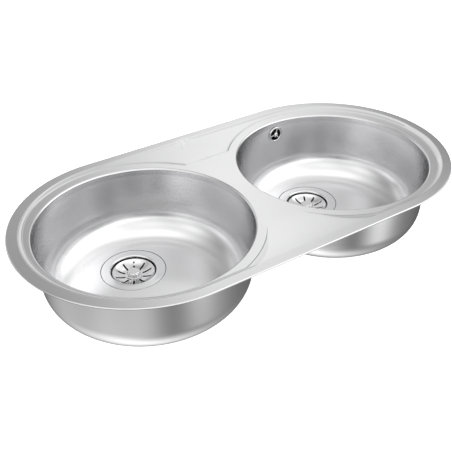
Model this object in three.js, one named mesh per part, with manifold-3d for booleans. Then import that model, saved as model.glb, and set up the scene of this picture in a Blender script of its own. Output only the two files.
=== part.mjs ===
// A double bowl kitchen sink in stainless steel, set into a worktop by its rim.
// Millimetres, +Z up, +X along the sink, +Y to the back. The origin is the plan centre of the rim
// on the worktop: the rim stands above z = 0, and the bowls and wastes hang below it.
import * as THREE from "three";
import { mergeVertices } from "three/addons/utils/BufferGeometryUtils.js";
import Module from "manifold-3d";

const wasm = await Module();
wasm.setup();

// ---- Driving dimensions ----

// General
const SHEET = 0.8; // thickness of the pressed steel
const GAP = 0.3; // clearance between pieces that touch
const ROUND = 40; // sides of a bowl
const MIDDLE_ROUND = 24; // sides of a waste
const SMALL_ROUND = 12; // sides of a spigot or a screw
const PIN_ROUND = 8;

// Plan of the deck
const LARGE_RADIUS = 180.5; // mouth of the large bowl, on the left
const SMALL_RADIUS = 176; // mouth of the small bowl, on the right
const BRIDGE_WIDTH = 39; // deck between the two mouths
const LEFT_MARGIN = 36.5; // from a mouth to the edge of the sink
const RIGHT_MARGIN = 51.5;
const FRONT_MARGIN = 28.5;
const BACK_MARGIN = 50.5;

// Relief of the deck, pressed down from the border round it
const RIM_HEIGHT = 3; // top of the border above the worktop
const RIM_ROUND = 2; // roll of the outer edge
const BORDER_WIDTH = 17;
const STEP_SLOPE = 6.5; // run of a step for each millimetre of its drop
const LEDGE_DEPTH = 1.2; // tap ledge behind the bowls
const BRIDGE_DEPTH = 2; // deck between the bowls
const RING_DEPTH = 2.4; // band round each bowl
const RING_WIDTH = 20;
const LEDGE_WIDTH = 104; // tap ledge, from the back edge to its straight front step

// Bowls
const BOWL_DEPTH = 131; // floor below the worktop
const WALL_TAPER = THREE.MathUtils.degToRad(2.8);
const LIP_ROUND = 8; // roll from the deck into the bowl
const COLLAR_DEPTH = 12; // seam of deck and bowl, below the worktop
const FLOOR_ROUND = 55; // between wall and floor
const WASTE_OFFSET = 61; // waste behind the centre of its bowl
const PAD_THICKNESS = 2; // sound deadening under the floor
const PAD_RADIUS = 105;

// Rim seal and the clips that hold the sink in its cut-out
const SEAL_WIDTH = 9;
const CLIP_INSET = 15; // bracket from the edge of the sink
const CLIP_WIDTH = 10; // inside the bracket
const CLIP_STEEL = 1.2;
const BRACKET_LENGTH = 12;
const BRACKET_HEIGHT = 7;
const PIN_RADIUS = 1.5;
const PIN_CLEARANCE = 0.2;
const PIN_HEAD = 0.8;
const LEG_LENGTH = 36;
const TOOTH_COUNT = 4;
const TOOTH_SIZE = 1.6;
const CLIP_END_ANGLE = 25; // clips on the round ends, behind the ends' middles

// Wastes
const FLANGE_RADIUS = 57.5;
const FLANGE_STEEL = 1.2;
const CUP_RADIUS = 40.5; // mouth of the cup that holds the strainer
const CUP_LIP = 3;
const CUP_DEPTH = 28;
const SEAT_RADIUS = 33; // end of the cone that the stopper closes on
const SEAT_DEPTH = 23.5;
const PORT_COUNT = 6;
const PORT_RADIUS = 7;
const PORT_CIRCLE = 20;
const GASKET_THICKNESS = 1.5; // under the flange
const WASHER_THICKNESS = 3; // under the bowl
const BODY_WALL = 2.5;
const BODY_DEPTH = 44;
const BODY_FLANGE = 4;
const OUTLET_RADIUS = 23.9; // threaded spigot that the drain pipe screws to
const OUTLET_BORE = 19;
const OUTLET_LENGTH = 28;
const THREAD_PITCH = 7;
const THREAD_DEPTH = 0.9;
const BOSS_RADIUS = 6;
const BOSS_LENGTH = 12;
const SCREW_RADIUS = 2.5;
const SCREW_HEAD = 3;
const SCREW_SLOT = 1.2; // width and depth of the driver's slot

// Strainers
const BASKET_RADIUS = 37;
const BASKET_STEEL = 0.8;
const BASKET_DROP = 4.5; // rim of the basket below the floor
const DISH_DEPTH = 8.5; // of the basket itself
const DISH_FLAT = 14;
const SLOT_COUNT = 10;
const SLOT_WIDTH = 2.6;
const SLOT_START = 16.5;
const SLOT_END = 32;
const SLOT_PHASE = THREE.MathUtils.degToRad(-10);
const KNOB_RADIUS = 11.6;
const KNOB_BASE = 14;
const KNOB_BASE_THICKNESS = 1.2;
const KNOB_HEIGHT = 9.5;
const KNOB_RIBS = 12;
const KNOB_RIB_DEPTH = 0.9;
const STEM_RADIUS = 3;
const STOPPER_THICKNESS = 3.5;
const STOPPER_DROP = 5; // below the dish

// Overflow of the small bowl
const OVERFLOW_DROP = 27; // its centre below the worktop
const ROSE_RADIUS = 16;
const ROSE_OPENING = 12.2;
const ROSE_SPOKES = 3;
const SPOKE_WIDTH = 2.4;
const ROSE_STEEL = 1.4;
const ROSE_BEVEL = 0.6; // worn round the edges of its ring
const OVERFLOW_HOLE = 13.5;
const ELBOW_RADIUS = 17;
const ELBOW_WALL = 2;
const SPIGOT_RADIUS = 9;
const SPIGOT_BORE = 7;
const SPIGOT_LENGTH = 16; // under the hose
const PORT_REACH = 24; // of the side port, out from the cup of the waste
const PORT_DROP = 27; // its axis below the floor
const HOSE_SIDES = 8;
const HOSE_WALL = 1.3;
const RIB_HEIGHT = 1.5;
const RIB_PITCH = 5.2;
const RIBS_TO_A_BEND = 5; // spacing of the rings inside the hose
const CLAMP_WIDTH = 8;
const CLAMP_STEEL = 1;

// ---- Sizes that follow ----

const widest = Math.max(LARGE_RADIUS, SMALL_RADIUS);
const length = LEFT_MARGIN + 2 * LARGE_RADIUS + BRIDGE_WIDTH + 2 * SMALL_RADIUS + RIGHT_MARGIN;
const width = FRONT_MARGIN + 2 * widest + BACK_MARGIN;
const endRadius = width / 2;
const endCentre = length / 2 - endRadius;
const bowlY = FRONT_MARGIN + widest - width / 2;
const large = { name: "large", radius: LARGE_RADIUS, x: LEFT_MARGIN + LARGE_RADIUS - length / 2 };
const small = { name: "small", radius: SMALL_RADIUS, x: length / 2 - RIGHT_MARGIN - SMALL_RADIUS };
const ringTop = RIM_HEIGHT - RING_DEPTH;
const lipEnd = ringTop - LIP_ROUND * (1 - Math.sin(WALL_TAPER));
const recessDepth = FLANGE_STEEL + GASKET_THICKNESS + 2 * GAP;
const belowDeck = 30; // deeper than the deck's relief

// ---- Materials ----

const steel = new THREE.MeshStandardMaterial({ color: 0xc9cacb, roughness: 0.32, metalness: 1 });
const polished = new THREE.MeshStandardMaterial({ color: 0xd8d9da, roughness: 0.12, metalness: 1 });
const zinc = new THREE.MeshStandardMaterial({ color: 0xb4b8bb, roughness: 0.4, metalness: 1 });
const rubber = new THREE.MeshStandardMaterial({ color: 0x232323, roughness: 0.8, metalness: 0 });
const bitumen = new THREE.MeshStandardMaterial({ color: 0x4a4a4c, roughness: 0.9, metalness: 0 });
const plastic = new THREE.MeshStandardMaterial({ color: 0xe9e9e6, roughness: 0.5, metalness: 0 });

// ---- Geometry helpers ----

// A closed three.js geometry as a solid that can be joined and cut.
function solidOf(geometry) {
  const bare = geometry.clone();
  bare.deleteAttribute("normal");
  bare.deleteAttribute("uv");
  const merged = mergeVertices(bare, 1e-4);
  const vertProperties = merged.attributes.position.array;
  const triVerts = new Uint32Array(merged.index.array);
  return new wasm.Manifold(new wasm.Mesh({ numProp: 3, vertProperties, triVerts }));
}

// A named mesh of a solid, in the frame that the solid was made in.
function meshOf(name, solid, material) {
  const { vertProperties, triVerts } = solid.getMesh();
  const geometry = new THREE.BufferGeometry();
  geometry.setAttribute("position", new THREE.BufferAttribute(new Float32Array(vertProperties), 3));
  geometry.setIndex(new THREE.BufferAttribute(new Uint32Array(triVerts), 1));
  geometry.computeVertexNormals();
  const mesh = new THREE.Mesh(geometry, material);
  mesh.name = name;
  return mesh;
}

// Points [radius, height] of an arc in a profile, from one angle to another.
function arc(centre, radius, from, to, steps) {
  return Array.from({ length: steps + 1 }, (_, i) => {
    const angle = from + ((to - from) * i) / steps;
    return [centre[0] + radius * Math.cos(angle), centre[1] + radius * Math.sin(angle)];
  });
}

// The solid that a profile of [radius, height] points sweeps about Z. It runs up its outer side.
function revolve(profile, sides = SMALL_ROUND) {
  const points = [...profile, profile[0]].map(([r, z]) => new THREE.Vector2(r, z));
  return solidOf(new THREE.LatheGeometry(points, sides).rotateX(Math.PI / 2));
}

function cylinder(radius, bottom, top, sides = SMALL_ROUND) {
  return revolve([[0, bottom], [radius, bottom], [radius, top], [0, top]], sides);
}

// A ring with a plain rectangular section.
function ring(inner, outer, bottom, top, sides = SMALL_ROUND) {
  return revolve([[inner, bottom], [outer, bottom], [outer, top], [inner, top]], sides);
}

// A flat shape extruded from one height to another.
function extrude(shape, bottom, top, sides = ROUND / 4) {
  const depth = top - bottom;
  const geometry = new THREE.ExtrudeGeometry(shape, { depth, bevelEnabled: false, curveSegments: sides });
  return solidOf(geometry.translate(0, 0, bottom));
}

function box(low, high) {
  const size = new THREE.Vector3(...high).sub(new THREE.Vector3(...low));
  const geometry = new THREE.BoxGeometry(size.x, size.y, size.z);
  return solidOf(geometry.translate(low[0] + size.x / 2, low[1] + size.y / 2, low[2] + size.z / 2));
}

// The sink's outline, a straight-sided form with round ends, drawn a distance inside the edge.
function outline(inset, Kind = THREE.Shape) {
  const shape = new Kind();
  shape.absarc(endCentre, 0, endRadius - inset, -Math.PI / 2, Math.PI / 2);
  shape.absarc(-endCentre, 0, endRadius - inset, Math.PI / 2, 1.5 * Math.PI);
  shape.closePath();
  return shape;
}

function disc(x, y, radius) {
  const shape = new THREE.Shape();
  return shape.absarc(x, y, radius, 0, Math.PI).absarc(x, y, radius, Math.PI, 2 * Math.PI);
}

// ---- Deck ----

// The space over a pressed area: its floor is the shape, and its sides slope up and out.
function pressing(shape, depth, run = depth * STEP_SLOPE) {
  const bevel = { bevelEnabled: true, bevelThickness: depth, bevelSize: run, bevelSegments: 1 };
  const geometry = new THREE.ExtrudeGeometry(shape, { depth: belowDeck, curveSegments: ROUND / 4, ...bevel });
  return solidOf(geometry.translate(0, 0, RIM_HEIGHT));
}

// Everything under the deck's top surface down to a depth, sunk and drawn in by an inset.
function deckBlock(inset, depth) {
  const roll = RIM_ROUND - inset;
  const bevel = { bevelEnabled: true, bevelThickness: roll, bevelSize: roll, bevelSegments: 2 };
  const block = new THREE.ExtrudeGeometry(outline(RIM_ROUND), { depth, curveSegments: ROUND / 4, ...bevel });
  const field = (drop) => pressing(outline(BORDER_WIDTH + drop * STEP_SLOPE), drop);
  const bridge = new THREE.Shape();
  bridge.moveTo(large.x, -width / 2);
  bridge.lineTo(small.x, -width / 2);
  bridge.lineTo(small.x, width / 2 - LEDGE_WIDTH);
  bridge.lineTo(large.x, width / 2 - LEDGE_WIDTH);
  bridge.closePath();
  let pressed = pressing(bridge, BRIDGE_DEPTH).intersect(field(BRIDGE_DEPTH)).add(field(LEDGE_DEPTH));
  for (const { x, radius } of [large, small]) {
    const band = pressing(disc(x, bowlY, radius + RING_WIDTH), RING_DEPTH).intersect(field(RING_DEPTH));
    const collar = pressing(disc(x, bowlY, radius + LIP_ROUND + 1), RING_DEPTH, RING_DEPTH);
    pressed = pressed.add(band).add(collar);
  }
  const lowered = solidOf(block.translate(0, 0, RIM_HEIGHT - depth - roll));
  return lowered.subtract(pressed).translate([0, 0, -inset]);
}

// The rolled lip and collar of one mouth, which the bowl is welded to.
function lip(radius) {
  const flat = radius + LIP_ROUND * Math.cos(WALL_TAPER);
  const centre = [flat, ringTop - LIP_ROUND];
  const collar = radius - (lipEnd + COLLAR_DEPTH) * Math.tan(WALL_TAPER);
  const roll = (thickness, from, to) => arc(centre, LIP_ROUND - thickness, from, to, 2);
  return revolve([
    [flat + 1, ringTop],
    ...roll(0, Math.PI / 2, Math.PI - WALL_TAPER),
    [collar, -COLLAR_DEPTH],
    [collar + SHEET / Math.cos(WALL_TAPER), -COLLAR_DEPTH],
    ...roll(SHEET, Math.PI - WALL_TAPER, Math.PI / 2),
    [flat + 1, ringTop - SHEET],
  ], ROUND);
}

function makeDeck() {
  const worktop = outline(-belowDeck);
  worktop.holes.push(outline(BORDER_WIDTH, THREE.Path));
  const skin = deckBlock(0, belowDeck).subtract(deckBlock(SHEET, 2 * belowDeck));
  let deck = skin.subtract(extrude(worktop, -3 * belowDeck, 0));
  for (const { x, radius } of [large, small]) {
    const mouth = cylinder(radius + LIP_ROUND * Math.cos(WALL_TAPER), -belowDeck, belowDeck, ROUND);
    deck = deck.subtract(mouth.translate([x, bowlY, 0])).add(lip(radius).translate([x, bowlY, 0]));
  }
  return meshOf("deck", deck, steel);
}

// The foam strip under the border, which seals the sink to the worktop.
function makeRimSeal() {
  const strip = outline(RIM_ROUND + GAP);
  strip.holes.push(outline(RIM_ROUND + GAP + SEAL_WIDTH, THREE.Path));
  return meshOf("rim_seal", extrude(strip, 0, RIM_HEIGHT - SHEET - GAP), rubber);
}

// ---- Bowls, in a frame on the bowl's axis ----

// Wall radius of a bowl at a height.
function wallRadius(bowl, z) {
  return bowl.radius - (lipEnd - z) * Math.tan(WALL_TAPER);
}

// The bowl's hollow, grown by a thickness: floor, round corner and tapered wall.
function bowlForm(bowl, thickness, top) {
  const floor = -BOWL_DEPTH;
  const corner = wallRadius(bowl, floor);
  const centre = corner - (FLOOR_ROUND * (1 - Math.sin(WALL_TAPER))) / Math.cos(WALL_TAPER);
  return revolve([
    [0, floor - thickness],
    ...arc([centre, floor + FLOOR_ROUND], FLOOR_ROUND + thickness, -Math.PI / 2, -WALL_TAPER, 4),
    [wallRadius(bowl, top) + thickness / Math.cos(WALL_TAPER), top],
    [0, top],
  ], ROUND);
}

// The round recess that the waste's flange lies in, grown by a thickness.
function recess(thickness, top) {
  const bottom = -recessDepth - thickness;
  const radius = FLANGE_RADIUS + GAP + thickness;
  const spread = top - bottom;
  return revolve([[0, bottom], [radius, bottom], [radius + spread / 2, top], [0, top]], MIDDLE_ROUND)
    .translate([0, WASTE_OFFSET, -BOWL_DEPTH]);
}

const bowlTop = -COLLAR_DEPTH - GAP;
const wasteHole = CUP_RADIUS + 2 * CUP_LIP;

function makeBowl(bowl, overflow) {
  const inside = bowlForm(bowl, 0, bowlTop + SHEET).add(recess(0, SHEET));
  const hole = cylinder(wasteHole, -2 * BOWL_DEPTH, 0, MIDDLE_ROUND).translate([0, WASTE_OFFSET, 0]);
  let shell = bowlForm(bowl, SHEET, bowlTop).add(recess(SHEET, 0)).subtract(inside).subtract(hole);
  if (overflow) {
    const drill = cylinder(OVERFLOW_HOLE, 0, 2 * bowl.radius).rotate([-90, 0, 0]);
    shell = shell.subtract(drill.translate([0, 0, -OVERFLOW_DROP]));
  }
  return meshOf(bowl.name + "_bowl", shell, steel);
}

// The pad glued under the floor, cut away round the waste.
function makeSoundPad(bowl) {
  const top = -BOWL_DEPTH - SHEET - GAP;
  const clear = cylinder(FLANGE_RADIUS + 3 * BODY_WALL, top - 10, top + 10, MIDDLE_ROUND);
  const pad = cylinder(PAD_RADIUS, top - PAD_THICKNESS, top, MIDDLE_ROUND);
  return meshOf(bowl.name + "_sound_pad", pad.subtract(clear.translate([0, WASTE_OFFSET, 0])), bitumen);
}

// ---- Wastes, in a frame on the waste's axis with z = 0 on the bowl's floor ----

const screwTop = -CUP_DEPTH + SCREW_HEAD;
const washerTop = -recessDepth - SHEET - GAP;
const bodyTop = washerTop - WASHER_THICKNESS - GAP;
const bodyRadius = CUP_RADIUS + FLANGE_STEEL + 2 * GAP; // inside the plastic body
const bodyBottom = -BODY_DEPTH;
const outletEnd = bodyBottom - BODY_WALL - OUTLET_LENGTH;
const bossTop = bodyBottom + BODY_WALL;

// Steel flange and cup in one pressing, with a ring of ports in its bottom.
function makeFlange(name) {
  const wall = CUP_RADIUS + FLANGE_STEEL;
  const lipCentre = [CUP_RADIUS + CUP_LIP, -CUP_LIP];
  const seatTop = -SEAT_DEPTH + (CUP_RADIUS - SEAT_RADIUS);
  let flange = revolve([
    [SCREW_RADIUS + GAP, -CUP_DEPTH - FLANGE_STEEL],
    [SEAT_RADIUS + FLANGE_STEEL, -CUP_DEPTH - FLANGE_STEEL],
    [SEAT_RADIUS + FLANGE_STEEL, -SEAT_DEPTH - FLANGE_STEEL / 2],
    [wall, seatTop - FLANGE_STEEL / 2],
    ...arc(lipCentre, CUP_LIP - FLANGE_STEEL, Math.PI, Math.PI / 2, 1),
    [FLANGE_RADIUS - FLANGE_STEEL, -FLANGE_STEEL],
    [FLANGE_RADIUS, -FLANGE_STEEL],
    [FLANGE_RADIUS - FLANGE_STEEL / 2, -FLANGE_STEEL / 4],
    ...arc(lipCentre, CUP_LIP, Math.PI / 2, Math.PI, 2),
    [CUP_RADIUS, seatTop],
    [SEAT_RADIUS, -SEAT_DEPTH],
    [SEAT_RADIUS, -CUP_DEPTH],
    [SCREW_RADIUS + GAP, -CUP_DEPTH],
  ], MIDDLE_ROUND);
  const port = cylinder(PORT_RADIUS, -CUP_DEPTH - 5, -CUP_DEPTH + 1, PIN_ROUND);
  for (let i = 0; i < PORT_COUNT; i++) {
    flange = flange.subtract(port.translate([PORT_CIRCLE, 0, 0]).rotate([0, 0, (360 * i) / PORT_COUNT]));
  }
  return meshOf(name, flange, polished);
}

// Plastic body: flange, cup, threaded outlet and a spider that takes the screw.
function makeWasteBody(name, sidePort) {
  const rim = FLANGE_RADIUS - GAP;
  const thread = [];
  for (let z = outletEnd + THREAD_PITCH; z < bodyBottom - 2 * BODY_WALL - THREAD_PITCH; z += THREAD_PITCH) {
    thread.push([OUTLET_RADIUS - THREAD_DEPTH, z], [OUTLET_RADIUS, z + THREAD_PITCH / 2]);
  }
  let body = revolve([
    [OUTLET_BORE, outletEnd],
    [OUTLET_RADIUS - THREAD_DEPTH, outletEnd],
    ...thread,
    [OUTLET_RADIUS - THREAD_DEPTH, bodyBottom - 2 * BODY_WALL],
    [bodyRadius - BODY_WALL, bodyBottom - BODY_WALL],
    [bodyRadius + BODY_WALL, bodyBottom + BODY_WALL],
    [bodyRadius + BODY_WALL, bodyTop - BODY_FLANGE],
    [rim, bodyTop - BODY_FLANGE],
    [rim, bodyTop],
    [bodyRadius, bodyTop],
    [bodyRadius, bodyBottom + 2 * BODY_WALL],
    [bodyRadius - 2 * BODY_WALL, bodyBottom],
    [OUTLET_BORE, bodyBottom - BODY_WALL],
  ], MIDDLE_ROUND);
  const arm = box([-OUTLET_BORE - 1, -BODY_WALL / 2, bossTop - BOSS_LENGTH],
    [OUTLET_BORE + 1, BODY_WALL / 2, bodyBottom - BODY_WALL]);
  body = body.add(arm).add(arm.rotate([0, 0, 90])).add(cylinder(BOSS_RADIUS, bossTop - BOSS_LENGTH, bossTop));
  body = body.subtract(cylinder(SCREW_RADIUS + GAP, bossTop - BOSS_LENGTH - 1, bossTop + 1));
  if (sidePort) {
    const along = (solid) => solid.rotate([-90, 0, 0]).translate([0, 0, -PORT_DROP]);
    const start = bodyRadius + BODY_WALL / 2;
    body = body.add(along(cylinder(SPIGOT_RADIUS, start, bodyRadius + PORT_REACH)));
    body = body.subtract(along(cylinder(SPIGOT_BORE, start - 2 * BODY_WALL, bodyRadius + PORT_REACH + 1)));
  }
  return meshOf(name, body, plastic);
}

function makeWasteScrew(name) {
  const shank = cylinder(SCREW_RADIUS, bossTop - BOSS_LENGTH, -CUP_DEPTH + 1);
  const head = cylinder(2 * SCREW_RADIUS, -CUP_DEPTH + GAP, screwTop);
  const half = SCREW_SLOT / 2;
  const slot = box([-3 * SCREW_RADIUS, -half, screwTop - SCREW_SLOT], [3 * SCREW_RADIUS, half, screwTop + 1]);
  return meshOf(name, shank.add(head).subtract(slot), zinc);
}

function makeWaste(side, sidePort) {
  const gasketTop = -FLANGE_STEEL - GAP;
  const gasket = ring(wasteHole, FLANGE_RADIUS - GAP, gasketTop - GASKET_THICKNESS, gasketTop, MIDDLE_ROUND);
  const washer = ring(wasteHole, FLANGE_RADIUS - GAP, washerTop - WASHER_THICKNESS, washerTop, MIDDLE_ROUND);
  const group = new THREE.Group();
  group.add(
    makeFlange(side + "_waste_flange"),
    meshOf(side + "_flange_gasket", gasket, rubber),
    meshOf(side + "_waste_washer", washer, rubber),
    makeWasteBody(side + "_waste_body", sidePort),
    makeWasteScrew(side + "_waste_screw"),
  );
  return group;
}

// ---- Strainers, in the same frame as their waste ----

// Height of the basket's dish at a radius: a shallow round hollow with a flat middle.
function dishHeight(radius) {
  const share = Math.max(0, radius - DISH_FLAT) / (BASKET_RADIUS - DISH_FLAT);
  return -BASKET_DROP - DISH_DEPTH * (1 - share * share);
}

// The pressed dish with its rolled rim and its radial slots.
function makeBasket(name) {
  const hole = STEM_RADIUS + GAP;
  const radii = Array.from({ length: 3 }, (_, i) => DISH_FLAT + ((BASKET_RADIUS - 1 - DISH_FLAT) * i) / 2);
  const top = radii.map((r) => [r, dishHeight(r)]);
  const under = top.map(([r, z]) => [r + BASKET_STEEL / 4, z - BASKET_STEEL]);
  let basket = revolve([
    [hole, dishHeight(0) - BASKET_STEEL],
    ...under.slice(0, -1),
    [BASKET_RADIUS - BASKET_STEEL, -BASKET_DROP - 2.5 * BASKET_STEEL],
    [BASKET_RADIUS - BASKET_STEEL, -BASKET_DROP - 4 * BASKET_STEEL],
    [BASKET_RADIUS, -BASKET_DROP - 4 * BASKET_STEEL],
    [BASKET_RADIUS, -BASKET_DROP - BASKET_STEEL / 2],
    ...top.reverse(),
    [hole, dishHeight(0)],
  ], MIDDLE_ROUND);
  const slot = new THREE.Shape();
  const half = SLOT_WIDTH / 2;
  slot.absarc(SLOT_END - half, 0, half, -Math.PI / 2, Math.PI / 2);
  slot.absarc(SLOT_START + half, 0, half, Math.PI / 2, 1.5 * Math.PI);
  slot.closePath();
  const cutter = extrude(slot, -CUP_DEPTH, 0, 2);
  for (let i = 0; i < SLOT_COUNT; i++) {
    const turn = THREE.MathUtils.radToDeg(SLOT_PHASE) + (360 * i) / SLOT_COUNT;
    basket = basket.subtract(cutter.rotate([0, 0, turn]));
  }
  return meshOf(name, basket, polished);
}

const knobBottom = dishHeight(0) + GAP;
const knobTop = knobBottom + KNOB_HEIGHT;

// The ribbed knob: a flared base, a ring of ribs and a flat top.
function makeKnob(name) {
  const baseTop = knobBottom + KNOB_BASE_THICKNESS;
  const groove = KNOB_RADIUS - KNOB_RIB_DEPTH;
  const star = new THREE.Shape(Array.from({ length: 4 * KNOB_RIBS }, (_, i) => {
    const angle = (2 * Math.PI * (i + 0.5)) / (4 * KNOB_RIBS);
    const radius = i % 4 < 2 ? KNOB_RADIUS : groove;
    return new THREE.Vector2(radius * Math.cos(angle), radius * Math.sin(angle));
  }));
  const ribs = extrude(star, baseTop - GAP, knobTop - 2 * KNOB_RIB_DEPTH);
  const base = revolve([
    [0, knobBottom],
    [KNOB_BASE, knobBottom],
    [KNOB_BASE, baseTop - GAP],
    [groove, baseTop],
    [groove, knobTop - KNOB_RIB_DEPTH],
    [groove - KNOB_RIB_DEPTH, knobTop],
    [0, knobTop],
  ], MIDDLE_ROUND);
  const socket = cylinder(STEM_RADIUS + GAP, knobBottom - 1, knobTop - KNOB_HEIGHT / 3);
  return meshOf(name, base.add(ribs).subtract(socket), polished);
}

const stopperTop = dishHeight(0) - BASKET_STEEL - STOPPER_DROP;

// The stem from the knob's socket down through basket and stopper to the collar under them.
function makeStem(name) {
  const stopperBottom = stopperTop - STOPPER_THICKNESS;
  const stem = cylinder(STEM_RADIUS, screwTop + GAP, knobTop - KNOB_HEIGHT / 3 - GAP);
  const shoulder = cylinder(2 * STEM_RADIUS, stopperTop + GAP, dishHeight(0) - BASKET_STEEL - GAP);
  const nut = cylinder(2 * STEM_RADIUS, screwTop + GAP, stopperBottom - GAP, 6);
  return meshOf(name, stem.add(shoulder).add(nut), zinc);
}

// The rubber disc whose sloped edge closes on the cone of the cup.
function makeStopper(name) {
  const bottom = stopperTop - STOPPER_THICKNESS;
  const coneRadius = (z) => Math.min(CUP_RADIUS, SEAT_RADIUS + (z + SEAT_DEPTH)) - 1.5 * GAP;
  const hole = STEM_RADIUS + GAP;
  return meshOf(name, revolve([
    [hole, bottom],
    [coneRadius(bottom), bottom],
    [coneRadius(stopperTop - 1), stopperTop - 1],
    [coneRadius(stopperTop - 1) - 1, stopperTop],
    [hole, stopperTop],
  ], MIDDLE_ROUND), rubber);
}

function makeStrainer(side) {
  return [
    makeBasket(side + "_strainer_basket"),
    makeKnob(side + "_strainer_knob"),
    makeStem(side + "_strainer_stem"),
    makeStopper(side + "_strainer_stopper"),
  ];
}

// ---- Overflow, in a frame on the wall: z points into the bowl, y up ----

const roseBack = ROSE_RADIUS ** 2 / (2 * SMALL_RADIUS) + 2 * GAP;
const elbowFront = -SHEET - GAP - GASKET_THICKNESS - GAP;
const hoseBore = (SPIGOT_RADIUS + GAP) / Math.cos(Math.PI / HOSE_SIDES);
const hoseCrest = hoseBore + HOSE_WALL + RIB_HEIGHT;
const clampBore = (hoseCrest + GAP) / Math.cos(Math.PI / SMALL_ROUND);
const elbowAxis = -SHEET - 2 * GAP - clampBore - CLAMP_STEEL;
const elbowBack = elbowAxis - SPIGOT_RADIUS - ELBOW_WALL;
const elbowEnd = ELBOW_RADIUS + SPIGOT_LENGTH;

// The polished rose over the hole: a rounded ring, three spokes and a hub.
function makeRose() {
  const front = roseBack + ROSE_STEEL;
  let rose = revolve([
    [ROSE_OPENING, roseBack],
    [ROSE_RADIUS, roseBack],
    [ROSE_RADIUS - ROSE_BEVEL / 2, front - ROSE_BEVEL],
    [ROSE_RADIUS - 2 * ROSE_BEVEL, front],
    [ROSE_OPENING + ROSE_BEVEL, front],
    [ROSE_OPENING, front - ROSE_BEVEL],
  ], MIDDLE_ROUND);
  rose = rose.add(cylinder(2 * SCREW_RADIUS, roseBack, front));
  const spoke = box([0, -SPOKE_WIDTH / 2, roseBack], [ROSE_OPENING + 1, SPOKE_WIDTH / 2, front - ROSE_BEVEL]);
  for (let i = 0; i < ROSE_SPOKES; i++) rose = rose.add(spoke.rotate([0, 0, 90 + (360 * i) / ROSE_SPOKES]));
  const bore = cylinder(SCREW_RADIUS + GAP, 0, front + 1);
  return meshOf("overflow_rose", rose.subtract(bore), polished);
}

function makeOverflowScrew() {
  const front = roseBack + ROSE_STEEL + GAP;
  const shank = cylinder(SCREW_RADIUS, elbowAxis, front + 0.5);
  const top = front + ROSE_STEEL;
  const head = revolve([[0, front], [1.6 * SCREW_RADIUS, front], [SCREW_RADIUS, top], [0, top]]);
  return meshOf("overflow_screw", shank.add(head), polished);
}

// The plastic elbow behind the wall: an open cup with a boss for the screw and a spigot down.
function makeElbow() {
  const down = (solid) => solid.rotate([90, 0, 0]).translate([0, 0, elbowAxis]);
  const hollow = cylinder(ELBOW_RADIUS - ELBOW_WALL, elbowBack + ELBOW_WALL, elbowFront + 1, SMALL_ROUND);
  const boss = cylinder(2 * SCREW_RADIUS, elbowBack + 1, elbowAxis / 2);
  let elbow = cylinder(ELBOW_RADIUS, elbowBack, elbowFront, SMALL_ROUND);
  elbow = elbow.add(down(cylinder(SPIGOT_RADIUS, 0, elbowEnd))).subtract(hollow);
  elbow = elbow.subtract(down(cylinder(SPIGOT_BORE, ELBOW_RADIUS / 2, elbowEnd + 1))).add(boss);
  elbow = elbow.subtract(cylinder(SCREW_RADIUS + GAP, elbowAxis - GAP, elbowFront));
  return meshOf("overflow_elbow", elbow, plastic);
}

// A hose with plain cuffs and ribs between, along a flat curve at one x.
function makeHose(curve) {
  const total = curve.getLength();
  const cuff = SPIGOT_LENGTH;
  const ribs = Math.round((total - 2 * cuff) / RIB_PITCH);
  const pitch = (total - 2 * cuff) / ribs;
  const outside = [[0, hoseCrest], [cuff, hoseCrest]];
  for (let i = 0; i < ribs; i++) {
    outside.push([cuff + (i + 0.5) * pitch, hoseCrest - RIB_HEIGHT], [cuff + (i + 1) * pitch, hoseCrest]);
  }
  outside.push([total, hoseCrest]);
  const bends = Math.floor(ribs / RIBS_TO_A_BEND) + 2;
  const inside = Array.from({ length: bends + 1 }, (_, i) => [total * (1 - i / bends), hoseBore]);
  const rings = [...outside, ...inside];
  const sideways = new THREE.Vector3(1, 0, 0);
  const positions = rings.flatMap(([along, radius]) => {
    const share = THREE.MathUtils.clamp(along / total, 0, 1);
    const up = new THREE.Vector3().crossVectors(sideways, curve.getTangentAt(share));
    return Array.from({ length: HOSE_SIDES }, (_, side) => {
      const angle = (2 * Math.PI * (side + 0.5)) / HOSE_SIDES;
      const point = curve.getPointAt(share).addScaledVector(sideways, radius * Math.cos(angle));
      return point.addScaledVector(up, radius * Math.sin(angle)).toArray();
    });
  });
  const index = [];
  rings.forEach((_, i) => {
    const next = (i + 1) % rings.length;
    for (let side = 0; side < HOSE_SIDES; side++) {
      const turn = (side + 1) % HOSE_SIDES;
      const [a, b] = [i * HOSE_SIDES + side, i * HOSE_SIDES + turn];
      const [c, d] = [next * HOSE_SIDES + side, next * HOSE_SIDES + turn];
      index.push(a, d, b, a, c, d);
    }
  });
  const geometry = new THREE.BufferGeometry();
  geometry.setAttribute("position", new THREE.BufferAttribute(new Float32Array(positions.flat()), 3));
  geometry.setIndex(index);
  return meshOf("overflow_hose", solidOf(geometry), plastic);
}

// A steel band round a cuff of the hose, with the lug of its screw.
function makeClamp(name) {
  const band = ring(clampBore, clampBore + CLAMP_STEEL, -CLAMP_WIDTH / 2, CLAMP_WIDTH / 2);
  const lug = box([clampBore, -CLAMP_WIDTH / 2, -CLAMP_WIDTH / 2],
    [clampBore + CLAMP_WIDTH, CLAMP_WIDTH / 2, CLAMP_WIDTH / 2]);
  return meshOf(name, band.add(lug), zinc);
}

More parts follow.
